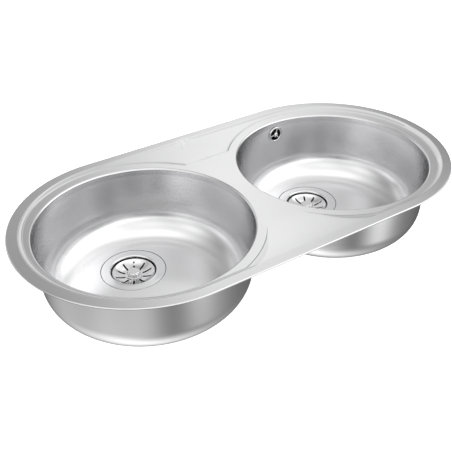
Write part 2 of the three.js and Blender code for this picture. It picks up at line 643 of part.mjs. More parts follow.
// The overflow on the back wall of the small bowl, with its hose down to the waste's side port.
function makeOverflow() {
  const head = new THREE.Group();
  head.position.set(small.x, bowlY + wallRadius(small, -OVERFLOW_DROP), -OVERFLOW_DROP);
  head.rotation.x = Math.PI / 2 - WALL_TAPER;
  head.updateMatrix();
  const gasketBack = elbowFront + GAP;
  const gasket = ring(OVERFLOW_HOLE, ELBOW_RADIUS, gasketBack, gasketBack + GASKET_THICKNESS, SMALL_ROUND);
  const upperClamp = makeClamp("upper_hose_clamp");
  upperClamp.position.set(0, CLAMP_WIDTH - elbowEnd, elbowAxis);
  upperClamp.rotation.x = Math.PI / 2;
  const overflowGasket = meshOf("overflow_gasket", gasket, rubber);
  head.add(makeRose(), makeOverflowScrew(), overflowGasket, makeElbow(), upperClamp);

  const start = new THREE.Vector3(0, SPIGOT_LENGTH - elbowEnd, elbowAxis).applyMatrix4(head.matrix);
  const down = new THREE.Vector3(0, -1, 0).transformDirection(head.matrix);
  const portY = bowlY + WASTE_OFFSET + bodyRadius + PORT_REACH;
  const end = new THREE.Vector3(small.x, portY - SPIGOT_LENGTH, -BOWL_DEPTH - PORT_DROP);
  const back = new THREE.Vector3(0, 1, 0);
  const hose = new THREE.CurvePath();
  const straight = SPIGOT_LENGTH + 2 * hoseCrest;
  const bendStart = start.clone().addScaledVector(down, straight);
  const bendEnd = end.clone().addScaledVector(back, straight);
  const pull = 0.5 * bendStart.distanceTo(bendEnd);
  hose.add(new THREE.LineCurve3(start, bendStart));
  hose.add(new THREE.CubicBezierCurve3(
    bendStart,
    bendStart.clone().addScaledVector(down, pull),
    bendEnd.clone().addScaledVector(back, pull),
    bendEnd,
  ));
  hose.add(new THREE.LineCurve3(bendEnd, end));
  const lowerClamp = makeClamp("lower_hose_clamp");
  lowerClamp.position.set(end.x, end.y + CLAMP_WIDTH, end.z);
  lowerClamp.rotation.x = Math.PI / 2;
  return new THREE.Group().add(head, makeHose(hose), lowerClamp);
}

// ---- Clips, in a frame on the sink's edge: x points out of the sink, y along the edge ----

const pinX = -CLIP_INSET - CLIP_STEEL - CLIP_WIDTH / 2;
const pinZ = RIM_HEIGHT - RING_DEPTH - SHEET - GAP - BRACKET_HEIGHT + 2 * PIN_RADIUS;
const eyeRadius = PIN_RADIUS + PIN_CLEARANCE + CLIP_STEEL;

// A solid made about Z, laid along x.
function across(solid) {
  return solid.rotate([0, 90, 0]).translate([pinX, 0, pinZ]);
}

// The channel welded under the deck, cut to follow the deck's underside.
function makeBracket(name, placement, underside) {
  const bottom = pinZ - 2 * PIN_RADIUS;
  const roof = pinZ + eyeRadius + GAP;
  const half = CLIP_WIDTH / 2;
  const reach = BRACKET_LENGTH / 2;
  const outer = half + CLIP_STEEL;
  let bracket = box([pinX - outer, -reach, bottom], [pinX + outer, reach, RIM_HEIGHT]);
  const channel = box([pinX - half, -BRACKET_LENGTH, bottom - 1], [pinX + half, BRACKET_LENGTH, roof]);
  bracket = bracket.subtract(channel);
  bracket = bracket.subtract(across(cylinder(PIN_RADIUS + PIN_CLEARANCE, -outer - 1, outer + 1, PIN_ROUND)));
  const seat = underside.translate([0, 0, -GAP]).transform(placement.clone().invert().elements);
  return meshOf(name, bracket.intersect(seat), zinc);
}

function makePin(name) {
  const half = CLIP_WIDTH / 2 + CLIP_STEEL;
  const shank = cylinder(PIN_RADIUS, -half - GAP, half + GAP, PIN_ROUND);
  const head = cylinder(1.5 * PIN_RADIUS, half + GAP, half + GAP + PIN_HEAD, PIN_ROUND);
  const tail = cylinder(1.5 * PIN_RADIUS, -half - GAP - PIN_HEAD, -half - GAP, PIN_ROUND);
  return meshOf(name, across(shank.add(head).add(tail)), zinc);
}

// The spring leg, folded flat along the edge. Its teeth bite the side of the cut-out when it hangs down.
function makeLeg(name) {
  const half = CLIP_WIDTH / 2 - GAP;
  const blade = new THREE.Shape();
  blade.moveTo(-half, 0);
  blade.lineTo(half, 0);
  blade.lineTo(half, BRACKET_LENGTH / 2 + 1);
  const tooth = (LEG_LENGTH - BRACKET_LENGTH / 2 - 5) / TOOTH_COUNT;
  for (let i = 0; i < TOOTH_COUNT; i++) {
    const y = BRACKET_LENGTH / 2 + 1 + i * tooth;
    blade.lineTo(half + TOOTH_SIZE, y + tooth);
    blade.lineTo(half, y + tooth);
  }
  blade.lineTo(half - 2, LEG_LENGTH);
  blade.lineTo(2 - half, LEG_LENGTH);
  blade.lineTo(-half, LEG_LENGTH - 2);
  blade.closePath();
  const plate = extrude(blade, pinZ + eyeRadius - CLIP_STEEL, pinZ + eyeRadius).translate([pinX, 0, 0]);
  const eye = across(cylinder(eyeRadius, -half, half, PIN_ROUND));
  const bore = across(cylinder(PIN_RADIUS + PIN_CLEARANCE, -half - 1, half + 1, PIN_ROUND));
  return meshOf(name, plate.add(eye).subtract(bore), zinc);
}

// Where the clips stand on the edge: its point and the direction out of the sink.
function clipPlaces() {
  const onEnd = (side, degrees) => {
    const angle = THREE.MathUtils.degToRad(degrees);
    const [x, y] = [endRadius * Math.cos(angle), endRadius * Math.sin(angle)];
    return { x: side * endCentre + x, y, angle };
  };
  const front = (x) => ({ x, y: -endRadius, angle: -Math.PI / 2 });
  const back = (x) => ({ x, y: endRadius, angle: Math.PI / 2 });
  const middle = (large.x + small.x) / 2;
  const quarter = (small.x - large.x) / 4;
  return [
    front(middle - quarter), front(middle + quarter), onEnd(1, CLIP_END_ANGLE),
    back(small.x), back(large.x), onEnd(-1, 180 - CLIP_END_ANGLE),
  ];
}

function makeClips() {
  const underside = deckBlock(SHEET, belowDeck);
  return clipPlaces().map(({ x, y, angle }, i) => {
    const clip = new THREE.Group();
    clip.position.set(x, y, 0);
    clip.rotation.z = angle;
    clip.updateMatrix();
    const name = "clip_" + (i + 1);
    const bracket = makeBracket(name + "_bracket", clip.matrix, underside);
    return clip.add(bracket, makePin(name + "_pin"), makeLeg(name + "_leg"));
  });
}

// ---- Assembly ----

const sink = new THREE.Group();
sink.add(makeDeck(), makeRimSeal(), ...makeClips());
for (const bowl of [large, small]) {
  const hasOverflow = bowl === small;
  const place = new THREE.Group();
  place.position.set(bowl.x, bowlY, 0);
  const waste = makeWaste(bowl.name, hasOverflow).add(...makeStrainer(bowl.name));
  waste.position.set(0, WASTE_OFFSET, -BOWL_DEPTH);
  place.add(makeBowl(bowl, hasOverflow), makeSoundPad(bowl), waste);
  sink.add(place);
}
sink.add(makeOverflow());

export default sink;
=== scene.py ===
import math

import bpy
import numpy as np
from mathutils import Matrix, Vector


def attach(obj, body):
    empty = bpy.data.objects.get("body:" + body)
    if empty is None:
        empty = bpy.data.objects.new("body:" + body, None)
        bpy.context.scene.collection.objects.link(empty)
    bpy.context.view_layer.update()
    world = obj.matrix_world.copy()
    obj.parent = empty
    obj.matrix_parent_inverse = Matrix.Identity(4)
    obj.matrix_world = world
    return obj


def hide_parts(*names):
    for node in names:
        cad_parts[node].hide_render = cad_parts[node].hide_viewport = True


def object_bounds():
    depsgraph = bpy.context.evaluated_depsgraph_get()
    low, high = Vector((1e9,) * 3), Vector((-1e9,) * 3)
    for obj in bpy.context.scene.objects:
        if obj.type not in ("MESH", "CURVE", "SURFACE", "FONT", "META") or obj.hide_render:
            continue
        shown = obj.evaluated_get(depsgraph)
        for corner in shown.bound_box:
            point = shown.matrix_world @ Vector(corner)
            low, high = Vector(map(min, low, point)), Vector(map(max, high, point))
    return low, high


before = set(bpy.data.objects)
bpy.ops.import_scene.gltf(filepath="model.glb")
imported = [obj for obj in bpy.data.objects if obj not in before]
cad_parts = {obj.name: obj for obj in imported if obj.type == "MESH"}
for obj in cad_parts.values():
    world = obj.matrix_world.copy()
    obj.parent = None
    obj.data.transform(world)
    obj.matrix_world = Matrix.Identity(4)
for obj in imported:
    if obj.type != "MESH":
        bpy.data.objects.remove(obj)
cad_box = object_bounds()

# Camera, at the photograph's viewing angle. A fit of the sink's outline and mouths gave its place;
# the frame is square, and the lens is given for a 36 mm sensor.
MM = 0.001
LOOK_AT = Vector((-97.52, -91.23, 3.0)) * MM
AZIMUTH, ELEVATION, ROLL = math.radians(-33.316), math.radians(34.713), math.radians(-0.459)
DISTANCE = 1190.17 * MM

camera = bpy.data.objects.new("camera", bpy.data.cameras.new("camera"))
bpy.context.scene.collection.objects.link(camera)
camera.data.sensor_width = 36.0
camera.data.lens = 58.76
turn = Matrix.Rotation(AZIMUTH, 4, "Z") @ Matrix.Rotation(math.pi / 2 - ELEVATION, 4, "X")
camera.matrix_world = (
    Matrix.Translation(LOOK_AT) @ turn @ Matrix.Translation((0, 0, DISTANCE))
    @ Matrix.Rotation(ROLL, 4, "Z")
)
bpy.context.scene.camera = camera


# Deck: one pressing of 0.8 mm stainless steel, with a satin face. A border stands round it, and the
# tap ledge, the bridge between the bowls and a band round each mouth are pressed down from it. Its
# edge turns down on the worktop, and each mouth rolls down into a short collar for the bowl.
END_RADIUS, END_CENTRE = 220.0, 200.0
BOWL_Y = -11.0
BOWLS = {"large": (-203.0, 180.5), "small": (192.5, 176.0)}
MIDDLE = -5.25
SHEET = 0.8
RIM_HEIGHT, RIM_ROUND = 3.0, 2.0
BORDER, BORDER_FALL = 18.5, 0.8
PRESSED_OFF = (1.0, -1.5)
BAND_DEPTH, BAND_WIDTH = 2.4, 18.5
BORDER_TO_BAND = ((0, 0), (1.6, 0.9), (4.9, 1.4), (6.5, BAND_DEPTH))
BORDER_TO_LEDGE = ((0, 0), (5.6, 0.8), (7.0, 1.2))
DOWN_TO_BAND = ((0, 0), (8.0, 1.1), (12.6, 1.6), (14.0, BAND_DEPTH))
LEDGE_TO_BRIDGE = ((0, 0), (4.0, 1.2), (6.4, BAND_DEPTH))
LEDGE_FRONT, FORE_RISE = 116.0, 90.0
LIP_ROUND, COLLAR_DEPTH, MOUTH_DEPTH = 3.5, 12.0, 7.0
TAPER = math.radians(2.8)
BAND_TOP = RIM_HEIGHT - BAND_DEPTH
LIP_END = BAND_TOP - LIP_ROUND * (1 - math.sin(TAPER))
STEEL_COLOUR = (0.60, 0.60, 0.605)


class Wire:
    """The output of a node, which can stand in a sum."""

    def __init__(self, finish, socket):
        self.finish, self.socket = finish, socket

    def joined(self, operation, first, second):
        return self.finish.node("ShaderNodeMath", {"operation": operation}, {0: first, 1: second})

    def __add__(self, other):
        return self.joined("ADD", self, other)

    def __sub__(self, other):
        return self.joined("SUBTRACT", self, other)

    def __mul__(self, other):
        return self.joined("MULTIPLY", self, other)

    def __pow__(self, other):
        return self.joined("POWER", self, other)

    def __rsub__(self, other):
        return self.joined("SUBTRACT", other, self)

    __radd__, __rmul__ = __add__, __mul__


class Finish:
    """A material, or the world, whose nodes are added one by one."""

    def __init__(self, owner):
        self.owner = owner
        owner.use_nodes = True
        self.tree = owner.node_tree

    def feed(self, inputs, values):
        """Links each wire to its socket, and sets each plain value on its own."""
        for socket, value in values.items():
            if isinstance(value, Wire):
                self.tree.links.new(value.socket, inputs[socket])
            else:
                inputs[socket].default_value = value

    def node(self, kind, settings=None, values=None, output=0):
        made = self.tree.nodes.new(kind)
        for name, value in (settings or {}).items():
            setattr(made, name, value)
        self.feed(made.inputs, values or {})
        return Wire(self, made.outputs[output])

    def shader(self, values):
        self.feed(self.tree.nodes["Principled BSDF"].inputs, values)
        return self.owner

    def place(self, turn=(0, 0, 0), scale=(1, 1, 1)):
        where = self.node("ShaderNodeTexCoord", output="Object")
        values = {"Vector": where, "Rotation": turn, "Scale": scale}
        return self.node("ShaderNodeMapping", {"vector_type": "TEXTURE"}, values)

    def apart(self, where):
        """The x, y and z of a place."""
        split = self.node("ShaderNodeSeparateXYZ", {}, {0: where})
        return [Wire(self, side) for side in split.socket.node.outputs]

    def noise(self, where, scale, detail=3.0):
        values = {"Vector": where, "Scale": scale, "Detail": detail}
        return self.node("ShaderNodeTexNoise", {}, values)

    def mixed(self, share, first, second):
        values = {0: share, 6: (*first, 1), 7: (*second, 1)}
        return self.node("ShaderNodeMix", {"data_type": "RGBA"}, values, output=2)

    def bumped(self, strength, depth, height):
        """A bump whose highest and lowest points lie a depth in millimetres apart."""
        values = {"Strength": strength, "Distance": depth * MM, "Height": height}
        return self.node("ShaderNodeBump", {}, values)


def satin(name, centre=None, colour=STEEL_COLOUR, roughness=0.19):
    """Stainless steel with a fine directional polish: along the sink, or round a bowl's axis."""
    lines_round, lines_across = 5.0, 2800
    finish = Finish(bpy.data.materials.new(name))
    if centre is None:
        grain = finish.place(scale=(40 * MM, 0.35 * MM, 0.35 * MM))
    else:
        x, y, height = finish.apart(finish.node("ShaderNodeTexCoord", output="Object"))
        x, y = x - centre[0] * MM, y - centre[1] * MM
        radius = (x * x + y * y) ** 0.5
        angle = finish.node("ShaderNodeMath", {"operation": "ARCTAN2"}, {0: y, 1: x})
        values = {0: angle * lines_round, 1: radius * lines_across, 2: height * lines_across}
        grain = finish.node("ShaderNodeCombineXYZ", {}, values)
    lines = finish.noise(grain, 1.0, 2.0)
    patches = finish.noise(finish.place(), 9.0, 2.0)
    return finish.shader({
        "Base Color": finish.mixed(patches, colour, [0.96 * c for c in colour]),
        "Metallic": 1.0,
        "Roughness": roughness + (lines - 0.5) * 0.06 + (patches - 0.5) * 0.04,
        "Normal": finish.bumped(0.03, 0.01, lines),
    })


def deselect():
    """Nothing is selected, and no object is in edit mode."""
    if bpy.context.object and bpy.context.object.mode != "OBJECT":
        bpy.ops.object.mode_set(mode="OBJECT")
    bpy.ops.object.select_all(action="DESELECT")


def edit(piece):
    """Opens one piece in edit mode, with all of it selected."""
    deselect()
    piece.select_set(True)
    bpy.context.view_layer.objects.active = piece
    bpy.ops.object.mode_set(mode="EDIT")
    bpy.ops.mesh.select_all(action="SELECT")


def faced_out(piece):
    """Turns every face of a closed piece outwards."""
    edit(piece)
    bpy.ops.mesh.normals_make_consistent(inside=False)
    bpy.ops.object.mode_set(mode="OBJECT")
    return piece


def modify(piece, kind, **settings):
    """Adds a modifier and applies it."""
    deselect()
    piece.select_set(True)
    bpy.context.view_layer.objects.active = piece
    modifier = piece.modifiers.new(kind, kind)
    for name, value in settings.items():
        setattr(modifier, name, value)
    bpy.ops.object.modifier_apply(modifier=modifier.name)


def combine(piece, other, operation):
    """Joins another closed mesh to a piece, or cuts it away, and removes it."""
    modify(piece, "BOOLEAN", operation=operation, object=other, solver="EXACT")
    bpy.data.objects.remove(other)


def wrapped(name, around, rows, place):
    """A grid wrapped round an axis. place gives each column and row its point, in millimetres."""
    deselect()
    bpy.ops.mesh.primitive_grid_add(x_subdivisions=around, y_subdivisions=rows, size=1)
    piece = bpy.context.object
    piece.name = name
    spots = np.empty(3 * len(piece.data.vertices))
    piece.data.vertices.foreach_get("co", spots)
    spots = spots.reshape(-1, 3)
    column = np.rint((spots[:, 0] + 0.5) * around).astype(int)
    row = np.rint((spots[:, 1] + 0.5) * rows).astype(int)
    piece.data.vertices.foreach_set("co", (place(column, row) * MM).ravel())
    edit(piece)
    bpy.ops.mesh.remove_doubles(threshold=1e-6)
    bpy.ops.object.mode_set(mode="OBJECT")
    return piece


def finished(piece, material, body, slot, *nodes, sharp=35.0):
    """Smooths a piece, gives it its material and body, and lets it stand for its CAD nodes."""
    deselect()
    piece.select_set(True)
    bpy.context.view_layer.objects.active = piece
    bpy.ops.object.shade_smooth_by_angle(angle=math.radians(sharp))
    modify(piece, "WEIGHTED_NORMAL", keep_sharp=True, weight=50)
    piece.data.materials.clear()
    piece.data.materials.append(material)
    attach(piece, body)
    if nodes:
        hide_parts(*nodes)
    return piece


def inset(x, y):
    """Distance in from the sink's outline."""
    return END_RADIUS - np.hypot(np.maximum(np.abs(x) - END_CENTRE, 0), y)


def sunk(run, step):
    """Depth of a pressed step, a run in from its upper edge, with its bends a little rounded."""
    places, depths = zip(*step)
    return sum(np.interp(run + shift, places, depths) for shift in (-0.4, 0.0, 0.4)) / 3


def relief(x, y):
    """Depth of the deck's face below the highest line of its border."""
    run = inset(x - PRESSED_OFF[0], y - PRESSED_OFF[1]) - BORDER
    front = END_RADIUS - BORDER - PRESSED_OFF[1]
    rise = np.clip((y + front) / FORE_RISE, 0, 1)
    bridge = sunk(LEDGE_FRONT + LEDGE_TO_BRIDGE[-1][0] - y, LEDGE_TO_BRIDGE)
    bridge = np.minimum(bridge, BAND_DEPTH * rise * rise * (3 - 2 * rise))
    between = (x > BOWLS["large"][0]) & (x < BOWLS["small"][0])
    depth = np.where(between, bridge, 0.0)
    depth = np.maximum(depth, np.where(y > 0, sunk(run, BORDER_TO_LEDGE), 0.0))
    for bowl_x, radius in BOWLS.values():
        out = radius + BAND_WIDTH + DOWN_TO_BAND[-1][0]
        band = sunk(out - np.hypot(x - bowl_x, y - BOWL_Y), DOWN_TO_BAND)
        depth = np.maximum(depth, np.minimum(band, sunk(run, BORDER_TO_BAND)))
    return depth + BORDER_FALL * np.clip(1 - inset(x, y) / BORDER, 0, 1)


def wall_radius(radius, z):
    """Radius of a bowl's tapered wall, at a height."""
    return radius - (-MOUTH_DEPTH - z) * math.tan(TAPER)


COLUMNS_BETWEEN, COLUMNS_ROUND = 88, 232
LIP_ROWS, FACE_ROWS, FACE_SAMPLES = 14, 48, 260


def half_deck(name, bowl_x, radius):
    """Half of the deck's upper skin, from the collar of one mouth out to the outline's roll."""
    toward = -1 if bowl_x > 0 else 1
    side = abs(MIDDLE - bowl_x)
    half_width = END_RADIUS - RIM_ROUND
    front = math.atan2(-half_width - BOWL_Y, side)
    back = math.atan2(half_width - BOWL_Y, side)
    angles = np.concatenate([
        np.linspace(front, back, COLUMNS_BETWEEN + 1)[:-1],
        np.linspace(back, front + 2 * math.pi, COLUMNS_ROUND + 1),
    ])
    along_x, along_y = toward * np.cos(angles), np.sin(angles)

    def at(reach):
        return bowl_x + reach * along_x, BOWL_Y + reach * along_y

    near, far = np.zeros_like(angles), np.full_like(angles, 600.0)
    for _ in range(50):
        middle = (near + far) / 2
        x, y = at(middle)
        inside = (inset(x, y) > RIM_ROUND) & (toward * (x - MIDDLE) < 0)
        near, far = np.where(inside, middle, near), np.where(inside, far, middle)
    mouth = wall_radius(radius, LIP_END) + LIP_ROUND * math.cos(TAPER)
    samples = np.linspace(0, 1, FACE_SAMPLES)[:, None]
    reach = mouth + samples * (far - mouth)
    height = relief(*at(reach))
    spacing = reach[1:] - reach[:-1]
    share = spacing * (1 / 4 + 5 * np.abs(height[1:] - height[:-1]) / spacing)
    share = np.vstack([np.zeros_like(angles), np.cumsum(share, axis=0)])
    share /= share[-1]
    rows = np.linspace(0, 1, FACE_ROWS + 1)
    columns = [np.interp(rows, s, r) for s, r in zip(share.T, reach.T)]
    reach = np.stack(columns, axis=1)

    def place(column, row):
        out = reach[np.maximum(row - LIP_ROWS, 0), column]
        x, y = bowl_x + out * along_x[column], BOWL_Y + out * along_y[column]
        z = RIM_HEIGHT - relief(x, y)
        turn = math.pi - TAPER + (math.pi / 2 - math.pi + TAPER) * (row - 1) / (LIP_ROWS - 1)
        rolled = (np.sin(turn) - math.sin(TAPER)) / (1 - math.sin(TAPER))
        in_lip = row < LIP_ROWS
        out = np.where(in_lip, mouth + LIP_ROUND * np.cos(turn), out)
        z = np.where(in_lip, LIP_END + (z - LIP_END) * rolled, z)
        end = row == 0
        out = np.where(end, wall_radius(radius, -COLLAR_DEPTH), out)
        z = np.where(end, -COLLAR_DEPTH, z)
        x, y = bowl_x + out * along_x[column], BOWL_Y + out * along_y[column]
        return np.stack([x, y, z], axis=1)

    return wrapped(name, COLUMNS_BETWEEN + COLUMNS_ROUND, LIP_ROWS + FACE_ROWS, place)


deck = half_deck("deck_pressing", *BOWLS["large"])
other = half_deck("other_half", *BOWLS["small"])
deselect()
for half in (other, deck):
    half.select_set(True)
bpy.context.view_layer.objects.active = deck
bpy.ops.object.join()
edit(deck)
bpy.ops.mesh.remove_doubles(threshold=1e-5)
faced_out(deck)
# The skin is open as yet, so one of its faces is looked at for which way is up.
if deck.data.polygons[len(deck.data.polygons) // 2].normal.z < 0:
    edit(deck)
    bpy.ops.mesh.flip_normals()

# The outer edge rolls over and turns down to the worktop.
edit(deck)
bpy.ops.mesh.select_mode(type="EDGE")
bpy.ops.mesh.select_all(action="DESELECT")
bpy.ops.mesh.select_non_manifold()
bpy.ops.object.mode_set(mode="OBJECT")
vertices = deck.data.vertices
for edge in deck.data.edges:
    edge.select = edge.select and all(vertices[i].co.z > RIM_ROUND * MM for i in edge.vertices)
for vertex in vertices:
    vertex.select = False
for edge in deck.data.edges:
    for i in edge.vertices if edge.select else ():
        vertices[i].select = True
ROLL_STEPS = 6
EDGE_TOP = RIM_HEIGHT - BORDER_FALL * (1 - RIM_ROUND / BORDER)
profile = [
    (RIM_ROUND * math.sin(a), EDGE_TOP - RIM_ROUND * (1 - math.cos(a)))
    for a in (math.pi / 2 * (i + 1) / ROLL_STEPS for i in range(ROLL_STEPS))
] + [(RIM_ROUND, 0.0)]
before = 0.0
for out, height in profile:
    bpy.ops.object.mode_set(mode="EDIT")
    bpy.ops.mesh.extrude_edges_move()
    bpy.ops.object.mode_set(mode="OBJECT")
    for vertex in deck.data.vertices:
        if vertex.select:
            x, y = vertex.co.x / MM, vertex.co.y / MM
            centre = max(-END_CENTRE, min(END_CENTRE, x))
            away = Vector((x - centre, y)).normalized() * (out - before)
            vertex.co = Vector((x + away.x, y + away.y, height)) * MM
    before = out
modify(deck, "SOLIDIFY", thickness=SHEET * MM, offset=-1, use_even_offset=True)
finished(deck, satin("satin_steel"), "sink", "sink_steel", "deck")


# Rim seal: a strip of soft closed-cell foam stuck under the border. It is pressed flat between the
# rim and the worktop, and keeps water out of the cut-out.
GAP = 0.3
SEAL_WIDTH = 9.0
SEAL_TOP = RIM_HEIGHT - BORDER_FALL - SHEET - GAP


def foam(name):
    """Black closed-cell foam, with its cells cut open on the faces."""
    finish = Finish(bpy.data.materials.new(name))
    here = finish.place()
    cells = finish.node("ShaderNodeTexVoronoi", {}, {"Vector": here, "Scale": 1100.0})
    cloud = finish.noise(here, 60.0)
    dark, pale = (0.028, 0.028, 0.03), (0.06, 0.06, 0.062)
    return finish.shader({
        "Base Color": finish.mixed(cloud * 0.6 + cells * 0.4, dark, pale),
        "Roughness": cloud * 0.15 + 0.8,
        "Normal": finish.bumped(0.6, 0.25, cells),
    })


def edge_frames(straight, bend):
    """Centres and outward directions of the sink's edge, all the way round."""
    turn = np.linspace(-math.pi / 2, math.pi / 2, bend, endpoint=False)
    run = np.linspace(END_CENTRE, -END_CENTRE, straight, endpoint=False)
    centre = np.concatenate([np.full(bend, END_CENTRE), run, np.full(bend, -END_CENTRE), -run])
    back, front = np.full(straight, math.pi / 2), np.full(straight, -math.pi / 2)
    angle = np.concatenate([turn, back, turn + math.pi, front])
    return centre, np.cos(angle), np.sin(angle)


def eased(points, radius):
    """A closed section with its corners rounded, each in three steps."""
    result = []
    steps, count = 3, len(points)
    for i in range(count):
        here = Vector(points[i])
        before, after = Vector(points[i - 1]), Vector(points[(i + 1) % count])
        if here.x < 1e-6:
            result.append(tuple(here))
            continue
        into, out = (before - here), (after - here)
        cut = min(radius, 0.45 * into.length, 0.45 * out.length)
        first, last = here + into.normalized() * cut, here + out.normalized() * cut
        for step in range(steps + 1):
            t = step / steps
            result.append(tuple((1 - t) ** 2 * first + 2 * t * (1 - t) * here + t * t * last))
    return result


def make_seal():
    outer = RIM_ROUND + GAP
    inner = outer + SEAL_WIDTH
    slope = BORDER_FALL / BORDER
    top = [(place, SEAL_TOP + slope * place) for place in (outer, inner)]
    section = eased([(outer, 0.0), *top, (inner, 0.0)], 0.5)
    inward, height = np.array(section + section[:1]).T
    centre, along_x, along_y = edge_frames(40, 90)

    def place(column, row):
        column = column % len(centre)
        out = END_RADIUS - inward[row]
        x, y = centre[column] + out * along_x[column], out * along_y[column]
        return np.stack([x, y, height[row]], axis=1)

    return faced_out(wrapped("rim_foam_strip", len(centre), len(section), place))


finished(make_seal(), foam("black_foam"), "sink", "foam", "rim_seal")


# Clips: six brackets of plated steel are welded under the rim. In each a spring leg turns on a
# riveted pin; it lies flat for fitting, and folds down so that its teeth bite the cut-out's side.
CLIP_INSET, CLIP_WIDTH, CLIP_STEEL = 15.0, 10.0, 1.2
BRACKET_LENGTH, BRACKET_HEIGHT = 12.0, 7.0
PIN_RADIUS, PIN_CLEARANCE, PIN_HEAD = 1.5, 0.2, 0.8
LEG_LENGTH, TOOTH_COUNT, TOOTH_SIZE = 36.0, 4, 1.6
CLIP_END_ANGLE = 25.0
PIN_X = -CLIP_INSET - CLIP_STEEL - CLIP_WIDTH / 2
PIN_Z = BAND_TOP - SHEET - GAP - BRACKET_HEIGHT + 2 * PIN_RADIUS
EYE_RADIUS = PIN_RADIUS + PIN_CLEARANCE + CLIP_STEEL


def plated(name):
    """Bright zinc plating, a little cloudy, over rolled steel."""
    finish = Finish(bpy.data.materials.new(name))
    here = finish.place()
    cloud = finish.noise(here, 180.0, 4.0)
    speck = finish.noise(here, 1500.0, 2.0)
    return finish.shader({
        "Base Color": finish.mixed(cloud, (0.50, 0.53, 0.56), (0.66, 0.67, 0.665)),
        "Metallic": 1.0,
        "Roughness": cloud * 0.18 + speck * 0.08 + 0.2,
        "Normal": finish.bumped(0.15, 0.05, speck),
    })


def rod(radius, start, end, turn=Matrix.Identity(4), sides=32):
    """A plain bar along Z, then turned into place. It is a start for other shapes."""
    deselect()
    bpy.ops.mesh.primitive_cylinder_add(
        vertices=sides, radius=radius * MM, depth=(end - start) * MM, location=(0, 0, 0)
    )
    bar = bpy.context.object
    bar.data.transform(turn @ Matrix.Translation((0, 0, (start + end) / 2 * MM)))
    return bar


def block(low, high, bevel=0.0):
    """A box between two corners, with its edges bevelled."""
    deselect()
    bpy.ops.mesh.primitive_cube_add(size=1)
    made = bpy.context.object
    low, high = Vector(low), Vector(high)
    made.data.transform(
        Matrix.Translation((low + high) / 2 * MM) @ Matrix.Diagonal((*((high - low) * MM), 1))
    )
    if bevel:
        modify(made, "BEVEL", width=bevel * MM, segments=3)
    return made


def soften(piece, width, angle):
    """Bevels the edges that are sharper than an angle."""
    limit = math.radians(angle)
    modify(piece, "BEVEL", width=width * MM, segments=2, limit_method="ANGLE", angle_limit=limit)


def turned(name, section, steps):
    """A closed section of (radius, height) points spun about an upright axis."""
    deselect()
    bpy.ops.mesh.primitive_circle_add(vertices=len(section), radius=MM)
    piece = bpy.context.object
    piece.name = name
    for vertex, (radius, height) in zip(piece.data.vertices, section):
        vertex.co = Vector((radius, 0, height)) * MM
    edit(piece)
    bpy.ops.mesh.spin(steps=steps, angle=2 * math.pi, center=(0, 0, 0), axis=(0, 0, 1))
    bpy.ops.mesh.select_all(action="SELECT")
    bpy.ops.mesh.remove_doubles(threshold=2e-6)
    bpy.ops.mesh.delete_loose()
    return faced_out(piece)


def twin(piece, name, place):
    """A new object with a copy of a piece's mesh, moved to its place."""
    copy = bpy.data.objects.new(name, piece.data.copy())
    bpy.context.scene.collection.objects.link(copy)
    copy.data.transform(place)
    return copy


ACROSS = Matrix.Translation(Vector((PIN_X, 0, PIN_Z)) * MM) @ Matrix.Rotation(math.pi / 2, 4, "Y")


def leg_blade():
    """The leg: a toothed blade with a pressed stiffening rib, curled round the pin at one end."""
    half = CLIP_WIDTH / 2 - GAP
    root = BRACKET_LENGTH / 2 + 1
    tooth = (LEG_LENGTH - BRACKET_LENGTH / 2 - 5) / TOOTH_COUNT
    points = [(-half, 0), (half, 0), (half, root)]
    for i in range(TOOTH_COUNT):
        y = root + i * tooth
        points += [(half + TOOTH_SIZE, y + tooth), (half, y + tooth)]
    points += [(half - 2, LEG_LENGTH), (2 - half, LEG_LENGTH), (-half, LEG_LENGTH - 2)]
    deselect()
    bpy.ops.mesh.primitive_circle_add(vertices=len(points), radius=MM, fill_type="NGON")
    blade = bpy.context.object
    bottom = PIN_Z + EYE_RADIUS - CLIP_STEEL
    for vertex, (x, y) in zip(blade.data.vertices, points):
        vertex.co = Vector((PIN_X + x, y, bottom)) * MM
    edit(blade)
    bpy.ops.mesh.extrude_region_move(TRANSFORM_OT_translate={"value": (0, 0, CLIP_STEEL * MM)})
    faced_out(blade)
    rib = block(
        (PIN_X - 1.6, root + 2, bottom - 0.6), (PIN_X + 1.6, LEG_LENGTH - 4, bottom + 0.5), 0.5
    )
    combine(blade, rib, "UNION")
    combine(blade, rod(EYE_RADIUS, -half, half, ACROSS, 48), "UNION")
    soften(blade, 0.15, 50)
    combine(blade, rod(PIN_RADIUS + PIN_CLEARANCE, -half - 1, half + 1, ACROSS, 32), "DIFFERENCE")
    return blade


def clip_pin():
    """A riveted pin: a plain shank with a domed head at each end."""
    reach = CLIP_WIDTH / 2 + CLIP_STEEL + GAP
    head = 1.5 * PIN_RADIUS
    end = [(PIN_RADIUS, reach), (head, reach), (head * 0.9, reach + 0.5)]
    end += [(head * 0.55, reach + PIN_HEAD), (0, reach + PIN_HEAD)]
    pin = turned("pin", [(radius, -height) for radius, height in end[::-1]] + end, 40)
    pin.data.transform(ACROSS)
    return pin


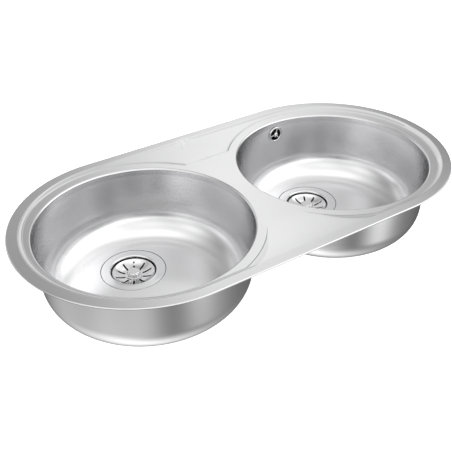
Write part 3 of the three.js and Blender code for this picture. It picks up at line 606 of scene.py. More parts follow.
def clip_places():
    """Where the clips stand on the edge, and which way is out of the sink."""
    middle = (BOWLS["large"][0] + BOWLS["small"][0]) / 2
    quarter = (BOWLS["small"][0] - BOWLS["large"][0]) / 4
    spots = [(middle - quarter, -90), (middle + quarter, -90), (None, CLIP_END_ANGLE)]
    spots += [(BOWLS["small"][0], 90), (BOWLS["large"][0], 90), (None, 180 - CLIP_END_ANGLE)]
    for x, degrees in spots:
        angle = math.radians(degrees)
        centre = math.copysign(END_CENTRE, math.cos(angle)) if x is None else x
        out = END_RADIUS * math.cos(angle) if x is None else 0.0
        place = Vector((centre + out, END_RADIUS * math.sin(angle), 0)) * MM
        yield Matrix.Translation(place) @ Matrix.Rotation(angle, 4, "Z")


zinc = plated("zinc_plating")
blade, pin = leg_blade(), clip_pin()
for number, place in enumerate(clip_places(), 1):
    clip = f"clip_{number}"
    bracket = twin(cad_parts[clip + "_bracket"], clip + "_welded_channel", Matrix.Identity(4))
    edit(bracket)
    bpy.ops.mesh.remove_doubles(threshold=1e-6)
    bpy.ops.mesh.dissolve_limited(angle_limit=math.radians(1))
    bpy.ops.object.mode_set(mode="OBJECT")
    soften(bracket, 0.2, 40)
    finished(bracket, zinc, "sink", "plated_steel", clip + "_bracket")
    finished(twin(pin, clip + "_riveted_pin", place), zinc, "sink", "plated_steel", clip + "_pin")
    leg = twin(blade, clip + "_toothed_leg", place)
    finished(leg, zinc, clip + "_leg", "plated_steel", clip + "_leg")
for pattern in (blade, pin):
    bpy.data.objects.remove(pattern)


# Bowls: each is deep drawn from 0.8 mm steel, and seam welded under the deck's collar. Its wall
# tapers to a wide round corner, and the floor runs to a round recess for the waste's flange.
BOWL_DEPTH, FLOOR_ROUND = 131.0, 55.0
WASTE_OFFSET = 61.0
RECESS_DEPTH, RECESS_RADIUS, RECESS_SPREAD = 3.3, 57.8, 0.6
WASTE_HOLE = 46.5
OVERFLOW_DROP, OVERFLOW_HOLE = 27.0, 13.5
BOWL_COLOUR = (0.68, 0.68, 0.685)
BOWL_COLUMNS = 256


def arc(centre, radius, start, end, steps):
    """Points of an arc in a section of (radius, height) points."""
    return [
        (centre[0] + radius * math.cos(a), centre[1] + radius * math.sin(a))
        for a in (start + (end - start) * i / steps for i in range(steps + 1))
    ]


def drawn_bowl(name, bowl_x, radius):
    flat = wall_radius(radius, -BOWL_DEPTH)
    flat -= FLOOR_ROUND * (1 - math.sin(TAPER)) / math.cos(TAPER)
    corner = arc((flat, FLOOR_ROUND - BOWL_DEPTH), FLOOR_ROUND, -TAPER, -math.pi / 2, 28)
    top = (wall_radius(radius, -COLLAR_DEPTH), -COLLAR_DEPTH)
    wall = [
        (top[0] + (corner[0][0] - top[0]) * t, top[1] + (corner[0][1] - top[1]) * t)
        for t in (0, 0.02, 0.2, 0.4, 0.6, 0.8, 0.95)
    ]
    edge = RECESS_RADIUS + RECESS_SPREAD
    floor = [(flat + (edge + 1 - flat) * i / 16, -BOWL_DEPTH) for i in range(1, 17)]
    bottom = -BOWL_DEPTH - RECESS_DEPTH
    pocket = [
        (edge + 0.5, -BOWL_DEPTH - 0.08), (edge, -BOWL_DEPTH - 0.35),
        (RECESS_RADIUS + 0.45, bottom + 0.9), (RECESS_RADIUS, bottom + 0.3),
        (RECESS_RADIUS - 0.6, bottom), (WASTE_HOLE + 4, bottom), (WASTE_HOLE, bottom),
    ]
    section = np.array(wall + corner + floor + pocket)
    start = flat + 6
    first_floor = len(wall) + len(corner)

    def place(column, row):
        angle = 2 * math.pi * column / BOWL_COLUMNS
        out, z = section[row].T
        x = out * np.cos(angle)
        y = out * np.sin(angle)
        y = y + WASTE_OFFSET * np.clip((start - out) / (start - edge - 1), 0, 1)
        past = np.maximum(np.hypot(x, y) - flat, 0)
        on_floor = (row >= first_floor - 4) & (row < len(section) - len(pocket))
        rise = FLOOR_ROUND - np.sqrt(np.maximum(FLOOR_ROUND**2 - past**2, 0)) - BOWL_DEPTH
        z = np.where(on_floor, rise, z)
        return np.stack([bowl_x + x, BOWL_Y + y, z], axis=1)

    bowl = faced_out(wrapped(name, BOWL_COLUMNS, len(section) - 1, place))
    low = min(bowl.data.polygons, key=lambda face: face.center.z)
    if low.normal.z < 0:
        edit(bowl)
        bpy.ops.mesh.flip_normals()
    modify(bowl, "SOLIDIFY", thickness=SHEET * MM, offset=-1, use_even_offset=True)
    return bowl


for side, (bowl_x, radius) in BOWLS.items():
    bowl = drawn_bowl(side + "_bowl_shell", bowl_x, radius)
    if side == "small":
        deselect()
        wall_y = BOWL_Y + wall_radius(radius, -OVERFLOW_DROP)
        bpy.ops.mesh.primitive_cylinder_add(
            vertices=64, radius=OVERFLOW_HOLE * MM, depth=40 * MM, rotation=(math.pi / 2, 0, 0),
            location=(bowl_x * MM, wall_y * MM, -OVERFLOW_DROP * MM),
        )
        combine(bowl, bpy.context.object, "DIFFERENCE")
    steel = satin(side + "_bowl_steel", (bowl_x, BOWL_Y), BOWL_COLOUR, 0.21)
    finished(bowl, steel, "sink", "sink_steel", side + "_bowl")

# A ripple of seam weld joins each bowl to the deck's collar, round the outside. It is the same
# steel, melted, and a little duller.
WELD_RADIUS, WELD_RIPPLES, WELD_ROWS = 1.1, 260, 10
for side, (bowl_x, radius) in BOWLS.items():
    seam = wall_radius(radius, -COLLAR_DEPTH) + SHEET

    def place_weld(column, row):
        angle = 2 * math.pi * column / (4 * WELD_RIPPLES)
        turn = 2 * math.pi * row / WELD_ROWS
        bead = WELD_RADIUS * (1 + 0.14 * np.cos(angle * WELD_RIPPLES + 1.5 * np.cos(turn)))
        out = seam + 0.55 * bead * np.cos(turn)
        z = 1.5 * bead * np.sin(turn) - COLLAR_DEPTH
        return np.stack([bowl_x + out * np.cos(angle), BOWL_Y + out * np.sin(angle), z], axis=1)

    weld = faced_out(wrapped(side + "_weld_seam", 4 * WELD_RIPPLES, WELD_ROWS, place_weld))
    steel = satin(side + "_weld_steel", colour=(0.52, 0.51, 0.5), roughness=0.36)
    finished(weld, steel, "sink", "sink_steel")


# Sound pads: a round sheet of bitumen, embossed with a fine diamond pattern, is glued under each
# floor. It is cut away round the waste, and deadens the drumming of water.
PAD_RADIUS, PAD_THICKNESS = 105.0, 2.0
PAD_TOP = -BOWL_DEPTH - SHEET - GAP
PAD_CLEAR = 65.0


def bitumen(name):
    """Matt grey bitumen sheet with an embossed diamond pattern."""
    finish = Finish(bpy.data.materials.new(name))
    where = finish.place(turn=(0, 0, math.pi / 4), scale=(7 * MM, 7 * MM, 7 * MM))
    waves = [
        finish.node("ShaderNodeMath", {"operation": "SINE"}, {0: side * (2 * math.pi)})
        for side in finish.apart(where)[:2]
    ]
    grid = finish.node("ShaderNodeMath", {"operation": "ABSOLUTE"}, {0: waves[0] * waves[1]})
    grain = finish.noise(finish.place(), 900.0)
    cloud = finish.noise(finish.place(), 25.0)
    dark, pale = (0.055, 0.055, 0.06), (0.10, 0.10, 0.105)
    return finish.shader({
        "Base Color": finish.mixed(cloud * 0.6 + grid * 0.4, dark, pale),
        "Roughness": grain * 0.2 + 0.72,
        "Normal": finish.bumped(0.7, 0.4, grid + grain * 0.4),
    })


pad_black = bitumen("embossed_bitumen")
for side, (bowl_x, radius) in BOWLS.items():
    bottom = PAD_TOP - PAD_THICKNESS
    sheet = eased([(0.0, PAD_TOP), (0.0, bottom), (PAD_RADIUS, bottom), (PAD_RADIUS, PAD_TOP)], 0.5)
    pad = turned(side + "_deadening_sheet", sheet, 144)
    away = Matrix.Translation(Vector((0, WASTE_OFFSET, 0)) * MM)
    combine(pad, rod(PAD_CLEAR, PAD_TOP - 10, PAD_TOP + 10, away, 144), "DIFFERENCE")
    pad.data.transform(Matrix.Translation(Vector((bowl_x, BOWL_Y, 0)) * MM))
    finished(pad, pad_black, "sink", "bitumen", side + "_sound_pad")


# Wastes: a polished flange and cup in one pressing, which lies in the floor's recess on its gasket.
# The mouth of the cup is rolled up into a soft lip, and its bottom is bored for the long screw.
FLANGE_RADIUS, FLANGE_STEEL = 57.5, 1.2
CUP_RADIUS, CUP_LIP, CUP_DEPTH = 40.5, 3.0, 28.0
SEAT_RADIUS, SEAT_DEPTH = 33.0, 23.5
SCREW_RADIUS = 2.5
POLISHED_COLOUR = (0.66, 0.66, 0.665)


def polished(name, centre, roughness=0.12):
    """Bright polished steel with faint turning lines round a centre."""
    return satin(name, centre=centre, colour=POLISHED_COLOUR, roughness=roughness)


def waste_centre(side):
    return BOWLS[side][0], BOWL_Y + WASTE_OFFSET


def copies(piece, sides=("large", "small")):
    """A waste's piece, made about the origin, set down in both wastes."""
    made = {}
    for side in sides:
        place = Vector((*waste_centre(side), -BOWL_DEPTH)) * MM
        made[side] = twin(piece, f"{side}_{piece.name}", Matrix.Translation(place))
    bpy.data.objects.remove(piece)
    return made


screw_hole = SCREW_RADIUS + 0.3
seat_top = -SEAT_DEPTH + CUP_RADIUS - SEAT_RADIUS
seat_wall = SEAT_RADIUS + FLANGE_STEEL
wall = CUP_RADIUS + FLANGE_STEEL
cup_under = -CUP_DEPTH - FLANGE_STEEL
lip_centre = (CUP_RADIUS + CUP_LIP, -CUP_LIP)
under = eased([
    (screw_hole, -CUP_DEPTH), (screw_hole, cup_under), (seat_wall, cup_under),
    (seat_wall, -SEAT_DEPTH - FLANGE_STEEL / 2), (wall, seat_top - FLANGE_STEEL / 2),
    (wall, -CUP_LIP),
], 0.5)[4:-4]
inner = eased([
    (CUP_RADIUS, -CUP_LIP), (CUP_RADIUS, seat_top), (SEAT_RADIUS, -SEAT_DEPTH),
    (SEAT_RADIUS, -CUP_DEPTH), (screw_hole, -CUP_DEPTH), (screw_hole, -CUP_DEPTH - 1),
], 0.6)[4:-4]
section = (
    [(screw_hole, cup_under)] + under
    + arc(lip_centre, CUP_LIP - FLANGE_STEEL, math.pi, math.pi / 2, 6)
    + [(FLANGE_RADIUS - 0.5, -FLANGE_STEEL), (FLANGE_RADIUS - 0.1, -1.1), (FLANGE_RADIUS, -0.85)]
    + [(FLANGE_RADIUS - 0.15, -0.55), (FLANGE_RADIUS - 0.7, -0.36), (CUP_RADIUS + 8.0, -0.32)]
    + [(CUP_RADIUS + 5.0, -0.22)]
    + arc(lip_centre, CUP_LIP, math.pi / 2, math.pi, 10)
    + inner
)
for side, piece in copies(turned("flange_pressing", section, 120)).items():
    steel = polished(side + "_flange_steel", waste_centre(side))
    finished(piece, steel, "sink", "polished_steel", side + "_waste_flange")


# Under each flange lies a rubber gasket, and under the bowl a thick rubber washer. A white plastic
# body is drawn up against the washer by one long screw, and the drain goes on its threaded outlet.
GASKET_THICKNESS, WASHER_THICKNESS = 1.5, 3.0
WASHER_TOP = -RECESS_DEPTH - SHEET - GAP
BODY_TOP = WASHER_TOP - WASHER_THICKNESS - GAP
BODY_WALL, BODY_DEPTH, BODY_FLANGE = 2.5, 44.0, 4.0
BODY_RADIUS = CUP_RADIUS + FLANGE_STEEL + 2 * GAP
BODY_BOTTOM = -BODY_DEPTH
OUTLET_RADIUS, OUTLET_BORE, OUTLET_LENGTH = 23.9, 19.0, 28.0
OUTLET_END = BODY_BOTTOM - BODY_WALL - OUTLET_LENGTH
THREAD_PITCH, THREAD_DEPTH = 3.5, 0.9
BOSS_RADIUS, BOSS_LENGTH = 6.0, 12.0
BOSS_TOP = BODY_BOTTOM + BODY_WALL
GRIPS, GRIP_HEIGHT = 36, 0.7
SPIGOT_RADIUS, SPIGOT_BORE, SPIGOT_LENGTH = 9.0, 7.0, 16.0
PORT_REACH, PORT_DROP = 24.0, 27.0
SCREW_HEAD, SCREW_SLOT = 3.0, 1.2
SCREW_TOP = -CUP_DEPTH + SCREW_HEAD


def rubber(name):
    """Matt black moulded rubber with a dusting of bloom."""
    finish = Finish(bpy.data.materials.new(name))
    here = finish.place()
    bloom = finish.noise(here, 90.0, 4.0)
    grain = finish.noise(here, 2200.0, 2.0)
    return finish.shader({
        "Base Color": finish.mixed(bloom, (0.018, 0.018, 0.019), (0.045, 0.044, 0.043)),
        "Roughness": bloom * 0.2 + 0.5,
        "Normal": finish.bumped(0.25, 0.05, grain),
    })


def plastic(name, pale=(0.80, 0.80, 0.775), dull=(0.73, 0.73, 0.705)):
    """Polypropylene, waxy and faintly uneven from the mould. It is white unless told otherwise."""
    finish = Finish(bpy.data.materials.new(name))
    here = finish.place()
    flow = finish.noise(here, 35.0)
    grain = finish.noise(here, 1400.0, 2.0)
    return finish.shader({
        "Base Color": finish.mixed(flow, pale, dull),
        "Roughness": flow * 0.12 + grain * 0.06 + 0.32,
        "Normal": finish.bumped(0.12, 0.04, grain),
    })


black_rubber, white_plastic = rubber("black_rubber"), plastic("white_polypropylene")
gasket_top = -FLANGE_STEEL - GAP
for name, node, top, thickness in (
    ("gasket_ring", "_flange_gasket", gasket_top, GASKET_THICKNESS),
    ("thick_washer", "_waste_washer", WASHER_TOP, WASHER_THICKNESS),
):
    inner, outer, bottom = WASTE_HOLE, FLANGE_RADIUS - GAP, top - thickness
    section = eased([(inner, bottom), (outer, bottom), (outer, top), (inner, top)], 0.5)
    soft_ring = turned(name, section, 120)
    for side, piece in copies(soft_ring).items():
        finished(piece, black_rubber, "sink", "rubber", side + node)


def plain(*points):
    """Rows of a body's section with neither grips nor thread."""
    return [(*point, 0, 0) for point in points]


def waste_body(name):
    """The plastic body: a flange, a gripped cup, a cone, and a spigot with a running thread."""
    rim, outside = FLANGE_RADIUS - GAP, BODY_RADIUS + BODY_WALL
    root, neck = OUTLET_RADIUS - THREAD_DEPTH, BODY_BOTTOM - 2 * BODY_WALL
    cone, foot = BODY_BOTTOM - BODY_WALL, BODY_BOTTOM + BODY_WALL
    ledge = BODY_TOP - BODY_FLANGE
    thread_end, thread_top = OUTLET_END + 1.0, neck - 1.0
    rows = plain((OUTLET_BORE + 0.4, OUTLET_END), (root - 0.5, OUTLET_END), (root, OUTLET_END + 0.5))
    rows += [(root, thread_end + (thread_top - thread_end) * i / 64, 0, 1) for i in range(65)]
    rows += plain((root, neck), (root + 1.0, neck + 0.3), (BODY_RADIUS - BODY_WALL, cone))
    rows += plain((BODY_RADIUS - 1.0, cone + 1.2), (outside, foot + 1.5))
    rows += [(outside, foot + 3.5, 1, 0), (outside, ledge - 9.0, 1, 0)]
    rows += plain((outside, ledge - 7.0), (outside, ledge - 2.0), (outside + 0.5, ledge - 0.7))
    rows += plain((outside + 1.5, ledge), (rim - 0.6, ledge), (rim, ledge + 0.6), (rim, BODY_TOP - 0.6))
    rows += plain((rim - 0.6, BODY_TOP), (BODY_RADIUS + 0.4, BODY_TOP), (BODY_RADIUS, BODY_TOP - 0.4))
    rows += plain((BODY_RADIUS, foot + BODY_WALL), (BODY_RADIUS - 2.2, BODY_BOTTOM + 1.4))
    rows += plain((BODY_RADIUS - 2 * BODY_WALL, BODY_BOTTOM), (OUTLET_BORE + 0.5, cone))
    rows += plain((OUTLET_BORE, cone - 0.6), (OUTLET_BORE, OUTLET_END + 0.4))
    table = np.array(rows + rows[:1])
    around = 8 * GRIPS

    def place(column, row):
        out, z, gripped, threaded = table[row].T
        angle = 2 * math.pi * column / around
        turn = z / THREAD_PITCH - angle / (2 * math.pi)
        crest = np.clip(0.5 + 1.4 * np.cos(2 * math.pi * turn), 0, 1)
        fade = np.clip(np.minimum(z - thread_end, thread_top - z) / 2.0, 0, 1)
        out = out + threaded * THREAD_DEPTH * crest * fade
        out = out + gripped * GRIP_HEIGHT * np.clip(0.5 + 1.5 * np.cos(GRIPS * angle), 0, 1)
        return np.stack([out * np.cos(angle), out * np.sin(angle), z], axis=1)

    body = faced_out(wrapped(name, around, len(rows), place))
    arm_bottom, arm_top = BOSS_TOP - BOSS_LENGTH, cone - 0.2
    half = BODY_WALL / 2
    for reach in ((OUTLET_BORE + 1, half), (half, OUTLET_BORE + 1)):
        arm = block((-reach[0], -reach[1], arm_bottom), (reach[0], reach[1], arm_top), 0.3)
        combine(body, arm, "UNION")
    combine(body, rod(BOSS_RADIUS, arm_bottom - 0.01, BOSS_TOP, sides=48), "UNION")
    combine(body, rod(SCREW_RADIUS + GAP, arm_bottom - 1, BOSS_TOP + 1, sides=32), "DIFFERENCE")
    return body


to_back = Matrix.Translation((0, 0, -PORT_DROP * MM)) @ Matrix.Rotation(-math.pi / 2, 4, "X")
bodies = copies(waste_body("plastic_body"))
start, reach = BODY_RADIUS + BODY_WALL / 2, BODY_RADIUS + PORT_REACH
spigot = turned("spigot", [
    (0.0, start), (SPIGOT_RADIUS + 1.0, start), (SPIGOT_RADIUS + 1.0, start + 4),
    (SPIGOT_RADIUS, start + 5), (SPIGOT_RADIUS, reach - 1.2), (SPIGOT_RADIUS - 0.6, reach),
    (0.0, reach),
], 64)
spigot.data.transform(to_back)
bore = rod(SPIGOT_BORE, start - 2 * BODY_WALL, reach + 1, to_back, 64)
for tool, operation in ((spigot, "UNION"), (bore, "DIFFERENCE")):
    combine(bodies["small"], copies(tool, ["small"])["small"], operation)
for side, piece in bodies.items():
    finished(piece, white_plastic, "sink", "plastic", side + "_waste_body")

head = 2 * SCREW_RADIUS
screw = turned("long_screw", [
    (0.0, BOSS_TOP - BOSS_LENGTH), (SCREW_RADIUS - 0.7, BOSS_TOP - BOSS_LENGTH),
    (SCREW_RADIUS, BOSS_TOP - BOSS_LENGTH + 0.7), (SCREW_RADIUS, -CUP_DEPTH + GAP),
    (head - 0.3, -CUP_DEPTH + GAP), (head, -CUP_DEPTH + GAP + 0.3), (head, SCREW_TOP - 1.0),
    (head - 0.3, SCREW_TOP - 0.5), (head - 1.2, SCREW_TOP - 0.1), (0.0, SCREW_TOP),
], 64)
half = SCREW_SLOT / 2
slot = block((-2 * head, -half, SCREW_TOP - SCREW_SLOT), (2 * head, half, SCREW_TOP + 1))
combine(screw, slot, "DIFFERENCE")
for side, piece in copies(screw).items():
    finished(piece, zinc, "sink", "plated_steel", side + "_waste_screw")


# Strainers: a pressed dish with a rolled rim and ten radial slots, and a ribbed knob riveted to it
# by the stem, which carries the rubber stopper under the dish. The whole strainer lifts out.
BASKET_RADIUS, BASKET_STEEL, BASKET_DROP = 38.2, 0.8, 4.5
DISH_DEPTH, DISH_FLAT = 8.5, 14.0
SLOTS, SLOT_WIDTH, SLOT_START, SLOT_END = 10, 3.5, 16.0, 33.5
SLOT_PHASE, PUNCH_LENGTH = math.radians(-10), 20.0
STEM_RADIUS = 3.0


def dish_height(radius):
    share = max(0.0, radius - DISH_FLAT) / (BASKET_RADIUS - DISH_FLAT)
    return -BASKET_DROP - DISH_DEPTH * (1 - share * share)


radii = [DISH_FLAT + (BASKET_RADIUS - 1.4 - DISH_FLAT) * i / 16 for i in range(17)]
top = [(r, dish_height(r)) for r in [STEM_RADIUS + 0.3] + radii]
below = [(r + BASKET_STEEL / 4 * (r > DISH_FLAT), z - BASKET_STEEL) for r, z in top[:-1]]
rim = -BASKET_DROP
section = below + [
    (BASKET_RADIUS - 0.9, rim - 1.9), (BASKET_RADIUS - 0.8, rim - 2.4),
    (BASKET_RADIUS - 0.8, rim - 3.2), (BASKET_RADIUS, rim - 3.2),
    (BASKET_RADIUS, rim - 0.9), (BASKET_RADIUS - 0.12, rim - 0.5),
    (BASKET_RADIUS - 0.4, rim - 0.25), (BASKET_RADIUS - 0.8, rim - 0.25),
] + top[::-1]
basket = turned("basket_dish", section, 120)
punch = rod(SLOT_WIDTH / 2, -PUNCH_LENGTH, 0, sides=24)
for vertex in punch.data.vertices:
    outer = vertex.co.x > 0
    vertex.co.x += (SLOT_END - SLOT_WIDTH / 2 if outer else SLOT_START + SLOT_WIDTH / 2) * MM
for i in range(SLOTS):
    turn = Matrix.Rotation(SLOT_PHASE + 2 * math.pi * i / SLOTS, 4, "Z")
    combine(basket, twin(punch, "punch", turn), "DIFFERENCE")
bpy.data.objects.remove(punch)
for side, piece in copies(basket).items():
    steel = polished(side + "_basket_steel", waste_centre(side), 0.15)
    finished(piece, steel, side + "_strainer", "polished_steel", side + "_strainer_basket")

# The knob is turned, and its ribs are milled. A broad foot spreads its rivet's pull over the dish.
KNOB_RADIUS, KNOB_BASE, KNOB_HEIGHT = 11.6, 14.0, 9.5
KNOB_RIBS, KNOB_RIB_DEPTH, RIB_COLUMNS = 12, 1.6, 16
knob_bottom = dish_height(0) + 0.3
knob_top = knob_bottom + KNOB_HEIGHT
groove = KNOB_RADIUS - KNOB_RIB_DEPTH
knob_rows = [
    (0.0, knob_bottom, 0), (KNOB_BASE - 0.5, knob_bottom, 0),
    (KNOB_BASE - 0.1, knob_bottom + 0.1, 0), (KNOB_BASE, knob_bottom + 0.4, 0),
    (KNOB_BASE - 0.15, knob_bottom + 0.8, 0),
    (KNOB_BASE - 0.6, knob_bottom + 1.1, 0), (groove + 1.2, knob_bottom + 1.25, 0),
    (groove + 0.2, knob_bottom + 1.5, 0.3), (groove, knob_bottom + 2.0, 1),
    (groove, knob_bottom + 4.5, 1), (groove, knob_top - 1.7, 1),
    (groove - 0.05, knob_top - 1.1, 0.8), (groove - 0.3, knob_top - 0.5, 0.35),
    (groove - 0.8, knob_top - 0.12, 0.05),
    (groove - 1.5, knob_top, 0), (groove - 4.0, knob_top, 0), (groove - 5.0, knob_top - 0.1, 0),
    (0.0, knob_top - 0.12, 0),
]


def place_knob(column, row):
    out, z, ribbed = np.array(knob_rows)[row].T
    angle = 2 * math.pi * column / (KNOB_RIBS * RIB_COLUMNS)
    wave = np.cos(angle * KNOB_RIBS)
    out = out + ribbed * KNOB_RIB_DEPTH * np.clip(0.5 + 1.1 * wave, 0, 1)
    return np.stack([out * np.cos(angle), out * np.sin(angle), z], axis=1)


knob = faced_out(wrapped("knob", KNOB_RIBS * RIB_COLUMNS, len(knob_rows) - 1, place_knob))
for side, piece in copies(knob).items():
    steel = polished(side + "_knob_steel", waste_centre(side), 0.15)
    piece.name = side + "_ribbed_knob"
    finished(piece, steel, side + "_strainer", "polished_steel", side + "_strainer_knob")

# The stem is riveted into the knob, and its hexagon holds the rubber stopper, which shuts the cup
# when the strainer is pushed down.
STOPPER_THICKNESS, STOPPER_DROP = 3.5, 5.0
basket_under = dish_height(0) - BASKET_STEEL
stopper_top = basket_under - STOPPER_DROP
stopper_bottom = stopper_top - STOPPER_THICKNESS
stem_bottom, stem_top = SCREW_TOP + GAP, knob_top - KNOB_HEIGHT / 3 - GAP
shoulder = 2 * STEM_RADIUS
stem = turned("turned_stem", [
    (0.0, stem_bottom), (STEM_RADIUS - 0.5, stem_bottom), (STEM_RADIUS, stem_bottom + 0.5),
    (STEM_RADIUS, stopper_top + GAP), (shoulder - 0.4, stopper_top + GAP),
    (shoulder, stopper_top + GAP + 0.4), (shoulder, stopper_top + 1.6),
    (STEM_RADIUS + 1.0, stopper_top + 2.2), (STEM_RADIUS + 1.0, basket_under - 1.8),
    (shoulder, basket_under - GAP - 1.0),
    (shoulder, basket_under - GAP), (STEM_RADIUS, basket_under - GAP),
    (STEM_RADIUS, stem_top - 0.5), (STEM_RADIUS - 0.5, stem_top), (0.0, stem_top),
], 64)
nut = rod(shoulder, stem_bottom, stopper_bottom - GAP, sides=6)
modify(nut, "BEVEL", width=0.2 * MM, segments=2)
combine(stem, nut, "UNION")
for side, piece in copies(stem).items():
    finished(piece, zinc, side + "_strainer", "plated_steel", side + "_strainer_stem")


def cone_radius(z):
    return min(CUP_RADIUS, SEAT_RADIUS + z + SEAT_DEPTH) - 1.5 * GAP


low, high = cone_radius(stopper_bottom), cone_radius(stopper_top - 1)
rings = []
for radius in (24.0, 16.0):
    rings += [(radius, stopper_top), (radius - 0.7, stopper_top - 0.7)]
    rings += [(radius - 1.4, stopper_top - 0.7), (radius - 2.1, stopper_top)]
stopper = turned("rubber_disc", [
    (STEM_RADIUS + GAP, stopper_bottom), (low - 0.5, stopper_bottom), (low, stopper_bottom + 0.4),
    (high, stopper_top - 1), (high - 0.3, stopper_top - 0.3), (high - 1.0, stopper_top), *rings,
    (STEM_RADIUS + GAP, stopper_top),
], 120)
for side, piece in copies(stopper).items():
    finished(piece, black_rubber, side + "_strainer", "rubber", side + "_strainer_stopper")


# Overflow rose: a polished ring with three spokes and a hub, held by one screw, over the hole in
# the back wall of the small bowl.
ROSE_RADIUS, ROSE_OPENING, ROSE_STEEL, HUB_RADIUS = 16.0, 12.2, 1.4, 5.0
SPOKES, SPOKE_WIDTH, SPOKE_STEEL, SPOKE_PHASE = 3, 2.4, 0.9, math.radians(72)
SPOKE_LENGTH, SPOKE_MIDDLE = 9.4, 8.4
small_x, small_radius = BOWLS["small"]
rose_back = ROSE_RADIUS**2 / (2 * small_radius) + 0.6
rose_front = rose_back + ROSE_STEEL
overflow_frame = Matrix.Translation(
    Vector((small_x, BOWL_Y + wall_radius(small_radius, -OVERFLOW_DROP), -OVERFLOW_DROP)) * MM
) @ Matrix.Rotation(math.pi / 2 - TAPER, 4, "X")
ring = turned("overflow_rose_ring", eased([
    (ROSE_OPENING, rose_back), (ROSE_RADIUS, rose_back), (ROSE_RADIUS, rose_back + 0.7),
    (ROSE_RADIUS - 1.2, rose_front), (ROSE_OPENING + 0.8, rose_front),
    (ROSE_OPENING, rose_front - 0.6),
], 0.5), 96)
hub = turned("hub", eased([
    (screw_hole, rose_back), (HUB_RADIUS, rose_back), (HUB_RADIUS, rose_front),
    (screw_hole, rose_front),
], 0.3), 48)
spokes = []
for i in range(SPOKES):
    deselect()
    bpy.ops.mesh.primitive_cube_add(size=1)
    spoke = bpy.context.object
    spoke.data.transform(Matrix.Diagonal((SPOKE_LENGTH * MM, SPOKE_WIDTH * MM, SPOKE_STEEL * MM, 1)))
    middle = Vector((SPOKE_MIDDLE, 0, rose_back + SPOKE_STEEL / 2))
    spoke.data.transform(Matrix.Translation(middle * MM))
    spoke.data.transform(Matrix.Rotation(SPOKE_PHASE + 2 * math.pi * i / SPOKES, 4, "Z"))
    modify(spoke, "BEVEL", width=0.35 * MM, segments=3)
    spokes.append(spoke)
for part in [hub] + spokes:
    combine(ring, part, "UNION")
ring.data.transform(overflow_frame)
rose_steel = polished("rose_steel", (small_x, BOWL_Y + small_radius), 0.14)
finished(ring, rose_steel, "sink", "polished_steel", "overflow_rose")


# Behind the wall a rubber gasket and a plastic elbow are drawn up by the rose's screw. A ribbed
# hose is pushed over the elbow's spigot and the waste's side port, and a steel clamp holds each end.
HOSE_SIDES, HOSE_WALL, RIB_HEIGHT, RIB_PITCH = 8, 1.3, 1.5, 5.2
CLAMP_SIDES, CLAMP_WIDTH, CLAMP_STEEL = 12, 8.0, 1.0
ELBOW_RADIUS, ELBOW_WALL = 17.0, 2.0
ELBOW_FRONT = -SHEET - GAP - GASKET_THICKNESS - GAP
HOSE_CREST = (SPIGOT_RADIUS + GAP) / math.cos(math.pi / HOSE_SIDES) + HOSE_WALL + RIB_HEIGHT
CLAMP_BORE = (HOSE_CREST + GAP) / math.cos(math.pi / CLAMP_SIDES)
ELBOW_AXIS = -SHEET - 2 * GAP - CLAMP_BORE - CLAMP_STEEL
ELBOW_BACK = ELBOW_AXIS - SPIGOT_RADIUS - ELBOW_WALL
ELBOW_END = ELBOW_RADIUS + SPIGOT_LENGTH


def behind_wall(name, piece, material, slot_name, node):
    """Sets a piece made on the overflow's axis in its place."""
    piece.data.transform(overflow_frame)
    piece.name = name
    finished(piece, material, "sink", slot_name, node)


screw_front = rose_front + GAP
head = 1.6 * SCREW_RADIUS
screw = turned("screw", [
    (0.0, ELBOW_AXIS), (SCREW_RADIUS, ELBOW_AXIS), (SCREW_RADIUS, screw_front), (head, screw_front),
    (head - 0.1, screw_front + 0.4), (head - 0.9, screw_front + 1.0),
    (SCREW_RADIUS - 0.6, screw_front + 1.35), (0.0, screw_front + ROSE_STEEL),
], 64)
slot = block((-2 * head, -0.5, screw_front + 0.5), (2 * head, 0.5, screw_front + 3))
combine(screw, slot, "DIFFERENCE")
behind_wall("overflow_oval_screw", screw, rose_steel, "polished_steel", "overflow_screw")

gasket_back = ELBOW_FRONT + GAP
gasket = turned("gasket", eased([
    (OVERFLOW_HOLE, gasket_back), (ELBOW_RADIUS, gasket_back),
    (ELBOW_RADIUS, gasket_back + GASKET_THICKNESS), (OVERFLOW_HOLE, gasket_back + GASKET_THICKNESS),
], 0.5), 72)
behind_wall("overflow_flat_gasket", gasket, black_rubber, "rubber", "overflow_gasket")

downwards = Matrix.Translation((0, 0, ELBOW_AXIS * MM)) @ Matrix.Rotation(math.pi / 2, 4, "X")
elbow = turned("elbow", [
    (0.0, ELBOW_BACK), (ELBOW_RADIUS - 3.0, ELBOW_BACK), (ELBOW_RADIUS - 0.9, ELBOW_BACK + 0.9),
    (ELBOW_RADIUS, ELBOW_BACK + 3.0), (ELBOW_RADIUS, ELBOW_FRONT - 0.4),
    (ELBOW_RADIUS - 0.4, ELBOW_FRONT), (0.0, ELBOW_FRONT),
], 96)
spigot = turned("spigot", [
    (0.0, 0.0), (SPIGOT_RADIUS, 0.0), (SPIGOT_RADIUS, ELBOW_END - 1.2),
    (SPIGOT_RADIUS - 0.6, ELBOW_END), (0.0, ELBOW_END),
], 64)
spigot.data.transform(downwards)
chamber = rod(ELBOW_RADIUS - ELBOW_WALL, ELBOW_BACK + ELBOW_WALL, ELBOW_FRONT + 1, sides=96)
